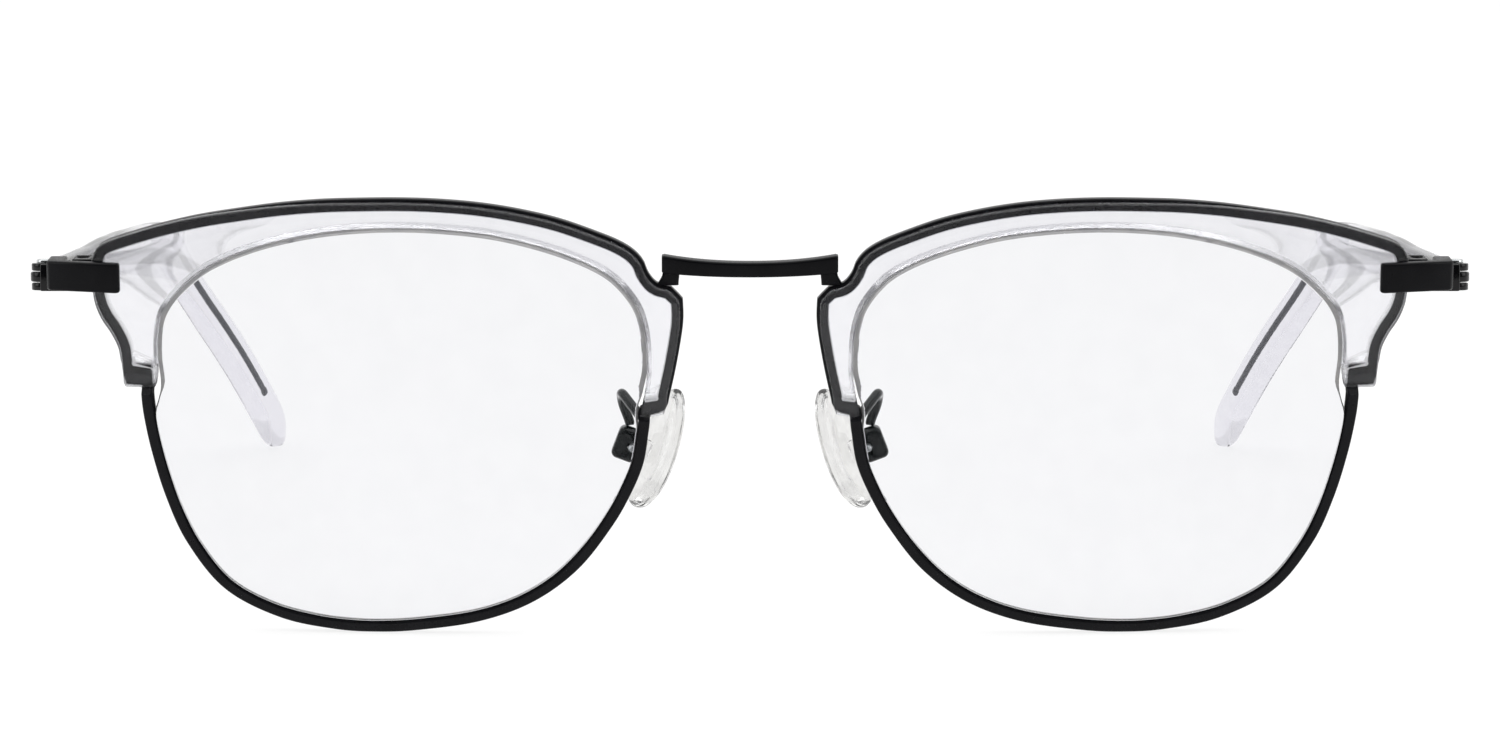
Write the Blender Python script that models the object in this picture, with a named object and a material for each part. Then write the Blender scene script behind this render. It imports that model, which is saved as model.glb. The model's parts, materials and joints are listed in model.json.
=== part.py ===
"""Browline eyeglasses: full metal eyewires with clear brow inserts.

All lengths are millimetres until they reach a mesh, where they are turned
into metres.  World frame: +Z up, the front of the glasses faces -Y, the
temples run back along +Y.  The glasses stand on z = 0, and the origin is the
middle of their footprint.  "Right" and "left" are the wearer's: right is -X.

Every paired part is laid out at +X; a side of -1 mirrors it.  Points on the
front are given as (across, up) or (across, back, up), measured along the
leaning front plane.
"""
import math

import bpy
import bmesh
from mathutils import Vector

for _old in list(bpy.data.objects):
    bpy.data.objects.remove(_old, do_unlink=True)

MM = 0.001
SIDES = (('right', -1.0), ('left', 1.0))

# ------------------------------------------------------------ driving sizes
FRONT_LEAN = math.radians(4.25)   # top of the front leans forward
FACE_FORM = math.radians(3.0)     # each half of the front swept back
LENS_CENTRE = (34.2, 21.5)
CURVE_RADIUS = 160.0              # curve of the lens and front
NOSE_EDGE = 8.5                   # across, where the sweep back begins

# Depths of wire and insert are measured behind the lens mid-surface.
WIRE_HALF = 0.60                  # half the eyewire's width seen from the front
WIRE_BACK = 1.10
WIRE_FRONT_BARE = -0.90
WIRE_FRONT_COVERED = -0.15        # where the insert lies in front of the wire
GROOVE_BARE = 0.35                # depth of the lens groove in the eyewire
GROOVE_COVERED = 0.15
CHAMFER = 0.22                    # on the eyewire, insert and bridge

INSERT_FRONT = -1.25
INSERT_BACK = 1.10
INSERT_EDGE = 0.58                # insert edge, from the eyewire's centreline
INSERT_GROOVE = 0.42              # lens groove in the insert
FIT_GAP = 0.04                    # clearance round the eyewire

LENS_HALF_THICK = 0.90
LENS_BEVEL = 0.50
LENS_TIP_HALF = 0.12              # half the flat on the bevel's tip

# -------------------------------------------------------- the front's surface


def depth(across, up):
    """Depth of the lens mid-surface behind the front plane."""
    centre_across, centre_up = LENS_CENTRE
    nose_sag = (centre_across - NOSE_EDGE) ** 2 / (2 * CURVE_RADIUS)
    return (((across - centre_across) ** 2 + (up - centre_up) ** 2) / (2 * CURVE_RADIUS)
            - nose_sag + math.tan(FACE_FORM) * (across - NOSE_EDGE))


def front(across, back, up):
    """A point of the front plane's frame, in the glasses' frame."""
    c, s = math.cos(FRONT_LEAN), math.sin(FRONT_LEAN)
    return Vector((across, back * c - up * s, up * c + back * s))


def on_front(across, offset, up):
    """A point at an offset behind the lens mid-surface."""
    return front(across, depth(across, up) + offset, up)


ACROSS = Vector((1, 0, 0))
FRONT_BACK = front(0, 1, 0)
FRONT_UP = front(0, 0, 1)

# ------------------------------------------------------------------- outlines
# Centreline of the +X eyewire as design points (across, up), running
# counter-clockwise seen from the front: brow, nose, bottom, temple.
BROW = [
    (64.5, 35.45), (64.45, 36.8), (64.1, 37.65), (63.2, 38.2), (61.6, 38.78), (58.3, 39.84),
    (54.3, 40.86), (50.3, 41.6), (46.3, 42.22), (42.3, 42.62), (38.3, 42.8), (34.3, 42.87),
    (30.4, 42.76), (26.5, 42.43), (22.6, 41.8), (18.7, 40.85), (14.7, 39.4), (12.9, 38.6),
    (11.75, 37.85), (11.0, 37.0), (10.6, 36.0), (9.9, 35.0), (9.1, 34.45), (8.1, 34.2)]
NOSE_SIDE = [(7.2, 33.3), (7.15, 31.5), (7.4, 29.5), (7.95, 26.5), (8.6, 23.6)]
NOSE_JOG = [(8.72, 22.87), (10.42, 22.55), (10.43, 21.8)]
LOWER = [
    (10.47, 21.4), (10.6, 20.4), (11.1, 17.4), (12.35, 14.35), (14.2, 11.1), (17.5, 6.85),
    (21.8, 3.62), (27.0, 1.63), (33.1, 0.66), (37.2, 0.42), (41.3, 0.6), (46.7, 1.65),
    (52.0, 4.35), (55.55, 8.9), (57.5, 13.4), (58.8, 17.95), (59.5, 21.5), (59.72, 23.6)]
LOWER_END = (59.72, 23.8)         # last point where the wire is bare
TEMPLE_JOG = [(59.72, 24.2), (59.72, 25.0), (61.6, 25.0)]
TEMPLE_SIDE = [(61.6, 25.6), (61.7, 27.0), (61.97, 28.5), (62.72, 30.0), (63.68, 31.4),
               (64.3, 33.0), (64.5, 35.25)]
# Lens-side edge of the insert (across, up), temple foot to nose foot.
INSERT_INNER = [
    (58.55, 24.3), (58.5, 27.0), (58.45, 29.5), (57.9, 32.0), (56.2, 34.2), (53.8, 36.25),
    (51.0, 37.7), (48.0, 38.8), (45.0, 39.6), (41.5, 40.25), (37.5, 40.65), (33.5, 40.75),
    (30.0, 40.6), (26.0, 40.2), (22.3, 39.45), (18.6, 38.35), (15.6, 37.1), (13.6, 35.9),
    (12.2, 34.5), (11.1, 32.9), (10.5, 31.2), (10.2, 29.2), (10.15, 26.5), (10.4, 24.2),
    (10.85, 22.0)]


def spline(points, steps=8):
    """Points on a smooth (Catmull-Rom) curve through the design points."""
    out = []
    count = len(points)
    for i in range(count - 1):
        p0 = points[max(i - 1, 0)]
        p1, p2 = points[i], points[i + 1]
        p3 = points[min(i + 2, count - 1)]
        for k in range(steps):
            t = k / steps
            out.append(tuple(
                0.5 * ((2 * p1[j]) + (p2[j] - p0[j]) * t
                       + (2 * p0[j] - 5 * p1[j] + 4 * p2[j] - p3[j]) * t * t
                       + (3 * p1[j] - p0[j] - 3 * p2[j] + p3[j]) * t ** 3)
                for j in range(len(p1))))
    out.append(tuple(points[-1]))
    return out


def thin(points, max_turn=math.radians(9.5), max_run=7.0):
    """Keep a point where the curve has turned or travelled far enough."""
    keep = [points[0]]
    run = turn = 0.0
    for before, here, after in zip(points, points[1:], points[2:]):
        angle_in = math.atan2(here[1] - before[1], here[0] - before[0])
        angle_out = math.atan2(after[1] - here[1], after[0] - here[0])
        turn += abs((angle_out - angle_in + math.pi) % (2 * math.pi) - math.pi)
        run += math.dist(here, before)
        if turn > max_turn or run > max_run:
            keep.append(here)
            run = turn = 0.0
    keep.append(points[-1])
    return keep


def loop_path():
    """Eyewire centreline as (point, depth of the wire's front face)."""
    covered_start = thin(spline(BROW)) + thin(spline(NOSE_SIDE)) + NOSE_JOG
    bare = thin(spline(LOWER))[:-1] + [LOWER_END]
    covered_end = TEMPLE_JOG + thin(spline(TEMPLE_SIDE))
    return ([(p, WIRE_FRONT_COVERED) for p in covered_start]
            + [(p, WIRE_FRONT_BARE) for p in bare]
            + [(p, WIRE_FRONT_COVERED) for p in covered_end])


def normals(points, closed=False):
    """Mitred normals on the right of the path: outward on a counter-clockwise loop."""
    out = []
    count = len(points)
    for i, here in enumerate(points):
        if closed:
            before, after = points[i - 1], points[(i + 1) % count]
        else:
            before, after = points[max(i - 1, 0)], points[min(i + 1, count - 1)]
        tangent_in = Vector((here[0] - before[0], here[1] - before[1]))
        tangent_out = Vector((after[0] - here[0], after[1] - here[1]))
        # an open path has only one tangent at each end
        if tangent_in.length < 1e-9:
            tangent_in = tangent_out.copy()
        if tangent_out.length < 1e-9:
            tangent_out = tangent_in.copy()
        tangent_in.normalize()
        tangent_out.normalize()
        middle = tangent_in + tangent_out
        middle.normalize()
        mitre = 1.0 / max(middle.dot(tangent_in), 0.7)
        out.append((middle.y * mitre, -middle.x * mitre))
    return out


def away(points, closed=False):
    """Normals of a path turned to point away from the lens centre."""
    out = []
    for p, n in zip(points, normals(points, closed)):
        outward = (p[0] - LENS_CENTRE[0]) * n[0] + (p[1] - LENS_CENTRE[1]) * n[1]
        sign = 1.0 if outward > 0 else -1.0
        out.append((n[0] * sign, n[1] * sign))
    return out


def shifted(points, directions, distance):
    """Each point moved a distance along its own direction."""
    return [(p[0] + n[0] * distance, p[1] + n[1] * distance)
            for p, n in zip(points, directions)]


# ------------------------------------------------------------------ materials


def material(name, rgb, roughness, metallic, alpha=1.0, ior=1.45, transmission=0.0):
    mat = bpy.data.materials.new(name)
    mat.use_nodes = True
    inputs = mat.node_tree.nodes['Principled BSDF'].inputs
    inputs['Base Color'].default_value = (*rgb, 1.0)
    inputs['Roughness'].default_value = roughness
    inputs['Metallic'].default_value = metallic
    inputs['IOR'].default_value = ior
    inputs['Transmission Weight'].default_value = transmission
    inputs['Alpha'].default_value = alpha
    mat.diffuse_color = (*rgb, alpha)
    return mat


BLACK = material('black_satin_metal', rgb=(0.012, 0.012, 0.015), roughness=0.35, metallic=0.6)
STEEL = material('screw_steel', rgb=(0.55, 0.55, 0.56), roughness=0.25, metallic=1.0)
CORE_METAL = material('dark_core_metal', rgb=(0.05, 0.05, 0.065), roughness=0.3, metallic=0.8)
ACETATE = material('clear_acetate', rgb=(0.88, 0.88, 0.90), roughness=0.08, metallic=0.0,
                   alpha=0.45, ior=1.49, transmission=0.9)
LENS_CLEAR = material('clear_lens', rgb=(0.93, 0.93, 0.95), roughness=0.02, metallic=0.0,
                      alpha=0.2, ior=1.5, transmission=0.95)
SILICONE = material('clear_silicone', rgb=(0.82, 0.82, 0.83), roughness=0.3, metallic=0.0,
                    alpha=0.5, ior=1.41, transmission=0.8)

# ---------------------------------------------------------------- mesh makers


def make(name, verts, faces, mat, side=1.0, origin=(0, 0, 0), smooth=True):
    """Mesh object from points in the glasses' frame."""
    pivot = Vector((origin[0] * side, origin[1], origin[2]))
    mesh = bpy.data.meshes.new(name)
    mesh.from_pydata([((v[0] * side - pivot.x) * MM, (v[1] - pivot.y) * MM,
                       (v[2] - pivot.z) * MM) for v in verts], [], faces)
    bm = bmesh.new()
    bm.from_mesh(mesh)
    bmesh.ops.recalc_face_normals(bm, faces=bm.faces)
    bm.to_mesh(mesh)
    bm.free()
    if smooth:
        for polygon in mesh.polygons:
            polygon.use_smooth = True
    ob = bpy.data.objects.new(name, mesh)
    ob.location = pivot * MM
    bpy.context.scene.collection.objects.link(ob)
    mesh.materials.append(mat)
    return ob


def band_faces(row_count, count):
    """Quads between neighbouring rows of a stack of equal closed rings."""
    faces = []
    for i in range(row_count - 1):
        for k in range(count):
            a, b = i * count + k, i * count + (k + 1) % count
            faces.append((a, b, b + count, a + count))
    return faces


def skin(name, rings, mat, side=1.0, **options):
    """Solid skinned over a row of equal rings, its ends closed flat."""
    count = len(rings[0])
    verts = [p for ring in rings for p in ring]
    faces = band_faces(len(rings), count)
    faces.append(tuple(range(count)))
    faces.append(tuple(range(len(verts) - count, len(verts))))
    return make(name, verts, faces, mat, side, **options)


def circle(centre, x_axis, y_axis, radius, count):
    return [centre + x_axis * (radius * math.cos(2 * math.pi * k / count))
            + y_axis * (radius * math.sin(2 * math.pi * k / count)) for k in range(count)]


def rod(name, base, axis, radius, length, mat, side, count, ref=(0, 1, 0.1), **options):
    """Cylinder from base along axis; ref fixes where its facets start."""
    axis = Vector(axis).normalized()
    x_axis = axis.cross(Vector(ref)).normalized()
    y_axis = axis.cross(x_axis).normalized()
    rings = [circle(base + axis * z, x_axis, y_axis, radius, count) for z in (0.0, length)]
    return skin(name, rings, mat, side, **options)


def frame(centre, a_axis, b_axis, c_axis):
    """A function that places (a, b, c) along three axes from a centre."""
    return lambda a, b, c: centre + a_axis * a + b_axis * b + c_axis * c


def both(half):
    return (-half, half)


def block_corners(place, a_range, b_range, c_range):
    """Four corners at the low c, then the four opposite."""
    (a0, a1), (b0, b1) = a_range, b_range
    return [place(a, b, c) for c in c_range for a, b in ((a0, b0), (a1, b0), (a1, b1), (a0, b1))]


def six_sided(name, corners, mat, side):
    faces = [(0, 1, 2, 3), (7, 6, 5, 4), (0, 4, 5, 1), (1, 5, 6, 2), (2, 6, 7, 3), (3, 7, 4, 0)]
    return make(name, corners, faces, mat, side, smooth=False)


def block(name, place, a_range, b_range, c_range, mat, side):
    return six_sided(name, block_corners(place, a_range, b_range, c_range), mat, side)


def bake(ob):
    """Turn the object's modifiers into its mesh."""
    bpy.context.view_layer.update()
    depsgraph = bpy.context.evaluated_depsgraph_get()
    mesh = bpy.data.meshes.new_from_object(ob.evaluated_get(depsgraph))
    ob.modifiers.clear()
    bm = bmesh.new()
    bm.from_mesh(mesh)
    bmesh.ops.remove_doubles(bm, verts=bm.verts, dist=0.000004)
    bmesh.ops.dissolve_degenerate(bm, edges=bm.edges, dist=0.000002)
    bm.to_mesh(mesh)
    bm.free()
    ob.data = mesh
    return ob


def boolean(ob, tool, operation='DIFFERENCE'):
    """Cut or join the tool into the object, then remove the tool."""
    modifier = ob.modifiers.new('fit', 'BOOLEAN')
    modifier.operation = operation
    modifier.solver = 'EXACT'
    modifier.object = tool
    bake(ob)
    bpy.data.objects.remove(tool, do_unlink=True)
    return ob


def bevel(ob, width, segments, angle=None):
    """Bevel the edges sharper than an angle in degrees, or every edge."""
    modifier = ob.modifiers.new('edge', 'BEVEL')
    modifier.width = width * MM
    modifier.segments = segments
    if angle is None:
        modifier.limit_method = 'NONE'
    else:
        modifier.limit_method = 'ANGLE'
        modifier.angle_limit = math.radians(angle)
    return bake(ob)


def slotted_screw(name, base, axis, y_axis, profile, count, slot_from, slot_depth,
                  slot_half_width, slot_axes, mat, side, **options):
    """Turned screw with profile rows of (radius, height), and a driver slot."""
    rings = [circle(base + axis * z, ACROSS, y_axis, radius, count) for radius, z in profile]
    screw = skin(name, rings, mat, side, **options)
    place = frame(base + axis * slot_from, *slot_axes, axis)
    slot = block('slot', place, both(1), both(slot_half_width), (0, slot_depth), mat, side)
    return boolean(screw, slot)


# ------------------------------------------------------------------- eyewires


def grooved_section(front_face):
    """Eyewire section as (outward, behind lens plane), grooved on the lens side."""
    bare = front_face == WIRE_FRONT_BARE
    groove = GROOVE_BARE if bare else GROOVE_COVERED
    groove_middle = 0.0 if bare else (front_face + WIRE_BACK) / 2
    groove_half = (WIRE_BACK - front_face) * 0.30
    floor_half = groove_half * 0.8
    half, back = WIRE_HALF, WIRE_BACK
    return [(half - CHAMFER, front_face), (half, front_face + CHAMFER),
            (half, back - CHAMFER), (half - CHAMFER, back), (-half, back),
            (-half, groove_middle + groove_half), (-half + groove, groove_middle + floor_half),
            (-half + groove, groove_middle - floor_half), (-half, groove_middle - groove_half),
            (-half, front_face)]


def clearance_section(front_face):
    """Plain section grown by the fitting gap."""
    half = WIRE_HALF + FIT_GAP
    near, far = front_face - FIT_GAP, WIRE_BACK + FIT_GAP
    return [(half, near), (half, far), (-half, far), (-half, near)]


def eyewire_rings(section):
    path = loop_path()
    rings = []
    for (p, front_face), n in zip(path, normals([p for p, _ in path])):
        rings.append([on_front(p[0] + n[0] * outward, offset, p[1] + n[1] * outward)
                      for outward, offset in section(front_face)])
    return rings


def build_eyewire(side_name, side):
    return skin(side_name + '_eyewire', eyewire_rings(grooved_section), BLACK, side)


def wire_clearance(side):
    """Cutter for whatever sits against the eyewire."""
    return skin('clearance', eyewire_rings(clearance_section), BLACK, side)


# --------------------------------------------------------------- brow inserts
# The two feet: (outer point, lens-side point, outward normal at the lens side).
TEMPLE_FOOT = [((62.08, 24.46), (58.72, 24.5), (1.0, 0.0)),
               ((62.12, 25.0), (58.55, 24.9), (1.0, 0.0))]
NOSE_FOOT = [((8.35, 23.35), (10.5, 23.4), (-1.0, 0.0)),
             ((8.36, 22.42), (10.88, 21.98), (-1.0, 0.0))]
TEMPLE_FOOT_EDGE = (58.55, 25.3)  # sections above the temple foot start here
SECTION_STEP = math.radians(0.9)  # least turn about the lens centre between sections
FOOT_TOP_TEMPLE = 26.1            # below this height the insert thins into its foot
FOOT_TOP_NOSE = 23.7
FOOT_SPLIT_ACROSS = 34            # beyond this, a section belongs to the temple end
FOOT_FADE = 1.6                   # height over which the insert thins
FOOT_SETBACK = 0.62               # how far the front face drops back there


def polar(point):
    """Angle of a point about the lens centre."""
    return math.atan2(point[1] - LENS_CENTRE[1], point[0] - LENS_CENTRE[0])


def insert_stations():
    """Matching points on the insert's outer and lens-side edges, with normals."""
    path = [p for p, _ in loop_path()]
    outer = shifted(path, normals(path), INSERT_EDGE)
    nose_end = path.index(NOSE_JOG[0])
    temple_start = path.index(TEMPLE_SIDE[0])
    # the loop's two ends meet at the closing gap: drop the doubled point
    chain = outer[temple_start:-1] + outer[:nose_end]
    inner = spline(INSERT_INNER, 16)
    inner_angles = [polar(p) for p in inner]
    inner_normals = away(inner)

    def inner_at(angle):
        for k in range(len(inner) - 1):
            a, b = inner_angles[k], inner_angles[k + 1]
            if a <= angle <= b:
                t = (angle - a) / (b - a)
                p, q = inner[k], inner[k + 1]
                return (p[0] + (q[0] - p[0]) * t, p[1] + (q[1] - p[1]) * t), inner_normals[k]
        return inner[-1], inner_normals[-1]

    stations = list(TEMPLE_FOOT)
    last_angle = polar(TEMPLE_FOOT_EDGE)
    for point in chain:
        angle = polar(point)
        if angle < last_angle + SECTION_STEP:
            continue
        if angle > polar(INSERT_INNER[-2]):
            break
        stations.append((point,) + inner_at(angle))
        last_angle = angle
    return stations + NOSE_FOOT


def insert_ring(outer, inner, inner_normal):
    run = (inner[0] - outer[0], inner[1] - outer[1])
    length = math.hypot(*run)
    foot_top = FOOT_TOP_TEMPLE if outer[0] > FOOT_SPLIT_ACROSS else FOOT_TOP_NOSE
    # 0 on the body, 1 in the foot
    foot = max(0.0, min(1.0, (foot_top - (outer[1] + inner[1]) / 2) / FOOT_FADE))
    face = INSERT_FRONT + FOOT_SETBACK * foot
    back = INSERT_BACK
    groove = INSERT_GROOVE * (1 - foot) + 0.03
    lip = 0.65 * (1 - foot) + 0.25 * foot
    # (distance in from the outer edge, depth), split round the lens-side corners
    outer_front = [(0.0, face + CHAMFER), (CHAMFER, face)]
    outer_back = [(CHAMFER, back), (0.0, back - CHAMFER)]
    # (distance outward from the lens-side edge, depth)
    lens_side = [(0.30, face), (0.0, face + 0.30), (0.0, -lip + 0.05), (groove, -0.18),
                 (groove, 0.18), (0.0, lip), (0.0, back - 0.2), (0.2, back)]

    def from_outer(rows):
        return [on_front(outer[0] + run[0] * dist / length, offset,
                         outer[1] + run[1] * dist / length) for dist, offset in rows]

    middle = [on_front(inner[0] + inner_normal[0] * dist, offset,
                       inner[1] + inner_normal[1] * dist) for dist, offset in lens_side]
    return from_outer(outer_front) + middle + from_outer(outer_back)


def build_insert(side_name, side):
    rings = [insert_ring(*station) for station in insert_stations()]
    ob = skin(side_name + '_brow_insert', rings, ACETATE, side)
    return boolean(ob, wire_clearance(side))


# --------------------------------------------------------------------- lenses
LENS_INTO_WIRE = 0.46             # bevel tip, inside the eyewire's centreline
LENS_INTO_INSERT = 0.10           # bevel tip, beyond the insert's edge
LENS_LOWER_TOP = 20.3             # the eyewire shapes the lens below this height
LENS_UPPER_LOW = 27.5             # the insert shapes it above this height
# Bevel tip (across, up) between the two.
LENS_TEMPLE_JOIN = [(58.98, 21.7), (58.66, 23.0), (58.38, 24.1), (58.36, 25.2), (58.5, 26.4)]
LENS_NOSE_JOIN = [(10.12, 26.4), (10.38, 25.2), (10.66, 24.0), (11.06, 22.9), (11.10, 21.9),
                  (11.0, 20.9)]
LENS_SCALES = (0.30, 0.66)        # rings on each lens face, as shares of its edge


def lens_outline():
    """Tip of the lens bevel, nose to temple below and back above."""
    low = spline(LOWER, 6)
    lower = [tip for p, tip in zip(low, shifted(low, away(low), -LENS_INTO_WIRE))
             if p[1] < LENS_LOWER_TOP]
    high = spline(INSERT_INNER, 4)
    upper = [tip for p, tip in zip(high, shifted(high, away(high), LENS_INTO_INSERT))
             if p[1] > LENS_UPPER_LOW]
    ring = lower[::5] + LENS_TEMPLE_JOIN + upper[::3] + LENS_NOSE_JOIN
    # run the spline past both ends so that it closes smoothly, then trim it
    steps = 4
    fine = spline([ring[-1]] + ring + ring[:2], steps)[steps:-steps - 1]
    return thin(fine + [fine[0]], math.radians(7.0), 5.0)[:-1]


def build_lens(side_name, side):
    tip = lens_outline()
    edge = shifted(tip, away(tip, closed=True), -LENS_BEVEL)
    centre_across, centre_up = LENS_CENTRE

    def row(points, offset):
        return [on_front(p[0], offset, p[1]) for p in points]

    def scaled(share):
        return [(centre_across + (p[0] - centre_across) * share,
                 centre_up + (p[1] - centre_up) * share) for p in edge]

    half = LENS_HALF_THICK
    face = [scaled(share) for share in LENS_SCALES] + [edge]
    rows = ([row(points, -half) for points in face]
            + [row(tip, -LENS_TIP_HALF), row(tip, LENS_TIP_HALF)]
            + [row(points, half) for points in reversed(face)])
    count = len(tip)
    verts = [p for points in rows for p in points]
    faces = band_faces(len(rows), count)
    # close each face with a fan to its centre
    for first, offset in ((0, -half), ((len(rows) - 1) * count, half)):
        centre = len(verts)
        verts.append(on_front(centre_across, offset, centre_up))
        for k in range(count):
            faces.append((first + k, first + (k + 1) % count, centre))
    return make(side_name + '_lens', verts, faces, LENS_CLEAR, side)


# --------------------------------------------------------------------- bridge
BRIDGE_HALF = 8.65
BRIDGE_STEPS = 24
# Legs at the bridge's ends: (up, inner across, outer across, front, back).
BRIDGE_LEG = [(36.9, 6.95, 8.60, 0.00, 1.15), (36.3, 6.95, 8.60, 0.05, 1.25),
              (35.75, 6.95, 8.75, 0.15, 1.38), (35.3, 6.95, 9.15, 0.32, 1.45),
              (34.4, 7.05, 9.75, 0.50, 1.45)]


def bridge_ring(across):
    """Chamfered section; top, bottom, front and back curve away from mid-span."""
    share = abs(across) / BRIDGE_HALF
    top = 37.35 + 0.65 * share ** 2.2
    bottom = 35.90 + 0.32 * share ** 2.2
    face = -0.95 + 0.55 * share * share
    back = 0.75 + 0.50 * share * share
    cut = CHAMFER
    section = [(face, bottom + cut), (face, top - cut), (face + cut, top), (back - cut, top),
               (back, top - cut), (back, bottom + cut), (back - cut, bottom),
               (face + cut, bottom)]
    return [front(across, y, z) for y, z in section]


def build_bridge():
    rings = [bridge_ring(-BRIDGE_HALF + 2 * BRIDGE_HALF * i / BRIDGE_STEPS)
             for i in range(BRIDGE_STEPS + 1)]
    ob = skin('bridge', rings, BLACK)
    leg_rings = [[front(inner, face, up), front(outer, face, up),
                  front(outer, back, up), front(inner, back, up)]
                 for up, inner, outer, face, back in BRIDGE_LEG]
    for _, side in SIDES:
        boolean(ob, skin('leg', leg_rings, BLACK, side), 'UNION')
    for _, side in SIDES:
        boolean(ob, wire_clearance(side))
    return ob


# ------------------------------------------------------------------ endpieces
BAR_IN, BAR_OUT = 62.1, 69.5      # across
BAR_LOW, BAR_HIGH = 33.9, 36.85   # up the front plane
BAR_THICK = 1.2
BAR_GAP = 0.16                    # between the bar and the brow insert
BAR_SLOPE_TO = 66.0               # the bar's slope is set from its inner end to here
BAR_LEG_IN = 67.75                # inner side of the leg at the bar's outer end
BAR_LEG_BACK = 6.05


def clear_of_insert(across):
    """Depth just in front of the brow insert."""
    return depth(across, 35.4) + INSERT_FRONT - BAR_GAP


def build_endpiece(side_name, side):
    """Bar in front of the insert, with a leg running back at its outer end."""
    inner_back = clear_of_insert(BAR_IN)
    slope = (clear_of_insert(BAR_SLOPE_TO) - inner_back) / (BAR_SLOPE_TO - BAR_IN)

    def back(across):
        return inner_back + slope * (across - BAR_IN)

    def face(across):
        return back(across) - BAR_THICK

    plan = [(BAR_IN, back(BAR_IN)), (BAR_IN, face(BAR_IN) + 0.35),
            (BAR_IN + 0.45, face(BAR_IN + 0.45)), (BAR_OUT - 0.4, face(BAR_OUT - 0.4)),
            (BAR_OUT, face(BAR_OUT) + 0.4), (BAR_OUT, BAR_LEG_BACK),
            (BAR_LEG_IN, BAR_LEG_BACK), (BAR_LEG_IN, back(BAR_LEG_IN))]
    rings = [[front(x, y, up) for x, y in plan] for up in (BAR_LOW, BAR_HIGH)]
    ob = skin(side_name + '_endpiece', rings, BLACK, side, smooth=False)
    return bevel(ob, width=0.14, segments=2, angle=50)


# ------------------------------------- closing blocks on the eyewire's two ends
BLOCK_ACROSS = (65.25, 67.20)
BLOCK_BACK = (4.75, 7.35)
BLOCK_LOW, BLOCK_HIGH = 33.35, 36.70
BLOCK_SPLIT = (BROW[0][1] + TEMPLE_SIDE[-1][1]) / 2   # middle of the eyewire's gap
BLOCK_HALF_GAP = 0.07
BLOCK_SLANT = 0.45                # rise of the lower block's underside, outwards
RIM_SCREW_AT = (66.22, 6.05)      # across, back
RIM_SCREW_LOW = 33.3
# Seat of the screw head in the upper block.
SEAT_LOW, SEAT_R, SEAT_LENGTH = 36.05, 0.64, 1.5
# (radius, height above the screw's foot)
RIM_SCREW_PROFILE = ((0.36, 0.0), (0.36, 2.77), (0.58, 2.77), (0.58, 3.22), (0.50, 3.30))


def closing_block(name, low, high, bore_radius, side, slant=0.0):
    corners = block_corners(front, BLOCK_ACROSS, BLOCK_BACK, (low, high))
    for corner, back in zip((1, 2), BLOCK_BACK):
        corners[corner] = front(BLOCK_ACROSS[1], back, low + slant)
    ob = six_sided(name, corners, BLACK, side)
    bore = rod('bore', front(*RIM_SCREW_AT, low - 1), FRONT_UP, bore_radius, high - low + 2,
               BLACK, side, count=16)
    return boolean(ob, bore)


def build_lower_block(side_name, side):
    return closing_block(side_name + '_closing_block_lower', BLOCK_LOW,
                         BLOCK_SPLIT - BLOCK_HALF_GAP, 0.40, side, slant=BLOCK_SLANT)


def build_upper_block(side_name, side):
    ob = closing_block(side_name + '_closing_block_upper', BLOCK_SPLIT + BLOCK_HALF_GAP,
                       BLOCK_HIGH, 0.42, side)
    seat = rod('seat', front(*RIM_SCREW_AT, SEAT_LOW), FRONT_UP, SEAT_R, SEAT_LENGTH,
               BLACK, side, count=20)
    return boolean(ob, seat)


def build_rim_screw(side_name, side):
    y_axis = FRONT_UP.cross(ACROSS).normalized()
    return slotted_screw(
        side_name + '_rim_screw', front(*RIM_SCREW_AT, RIM_SCREW_LOW), FRONT_UP, y_axis,
        RIM_SCREW_PROFILE, count=16, slot_from=3.14, slot_depth=0.5, slot_half_width=0.1,
        slot_axes=(ACROSS, y_axis), mat=BLACK, side=side)


# --------------------------------------------------------------------- hinges
TEMPLE_DROP = math.radians(3.5)   # straight part of the temple slopes down
TOE = 0.006                       # straight run closes in by this slope
HINGE = front(70.5, 9.0, 34.2)    # middle of the hinge pin
HINGE_AXIS = Vector((0, math.sin(TEMPLE_DROP), math.cos(TEMPLE_DROP)))
TEMPLE_BACK = Vector((0, math.cos(TEMPLE_DROP), -math.sin(TEMPLE_DROP)))
# Hinge frame: (across, back along the temple, up the pin).
hinge_point = frame(HINGE, ACROSS, TEMPLE_BACK, HINGE_AXIS)

KNUCKLE_R = 1.35
MID_KNUCKLE_R = 1.45
PIN_R = 0.45
BORE_R = 0.50
MID_KNUCKLE_H = 1.00
END_KNUCKLE_H = 0.75
KNUCKLE_GAP = 0.10
HINGE_HALF_H = MID_KNUCKLE_H / 2 + KNUCKLE_GAP + END_KNUCKLE_H
WEB_INSET = 0.04                  # webs are this much thinner on each face
PIN_INSET = 0.05                  # the pin's foot stops short of the knuckle

LEAF_END = 16.0
LEAF_HALF_THICK = 0.5
LEAF_HALF_HEIGHT = 1.15
# (distance back, half height) along the leaf
LEAF_STATIONS = ((2.2, 0.62), (2.9, LEAF_HALF_HEIGHT), (LEAF_END - 1.2, LEAF_HALF_HEIGHT),
                 (LEAF_END, 0.62))


def hinge_rod(name, low, radius, length, side, count=28, **options):
    """Cylinder on the hinge's axis."""
    return rod(name, hinge_point(0, 0, low), HINGE_AXIS, radius, length, BLACK, side, count,
               ref=TEMPLE_BACK, **options)


def bore_hinge(ob, side):
    return boolean(ob, hinge_rod('bore', -3, BORE_R, 6, side, count=24))


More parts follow.
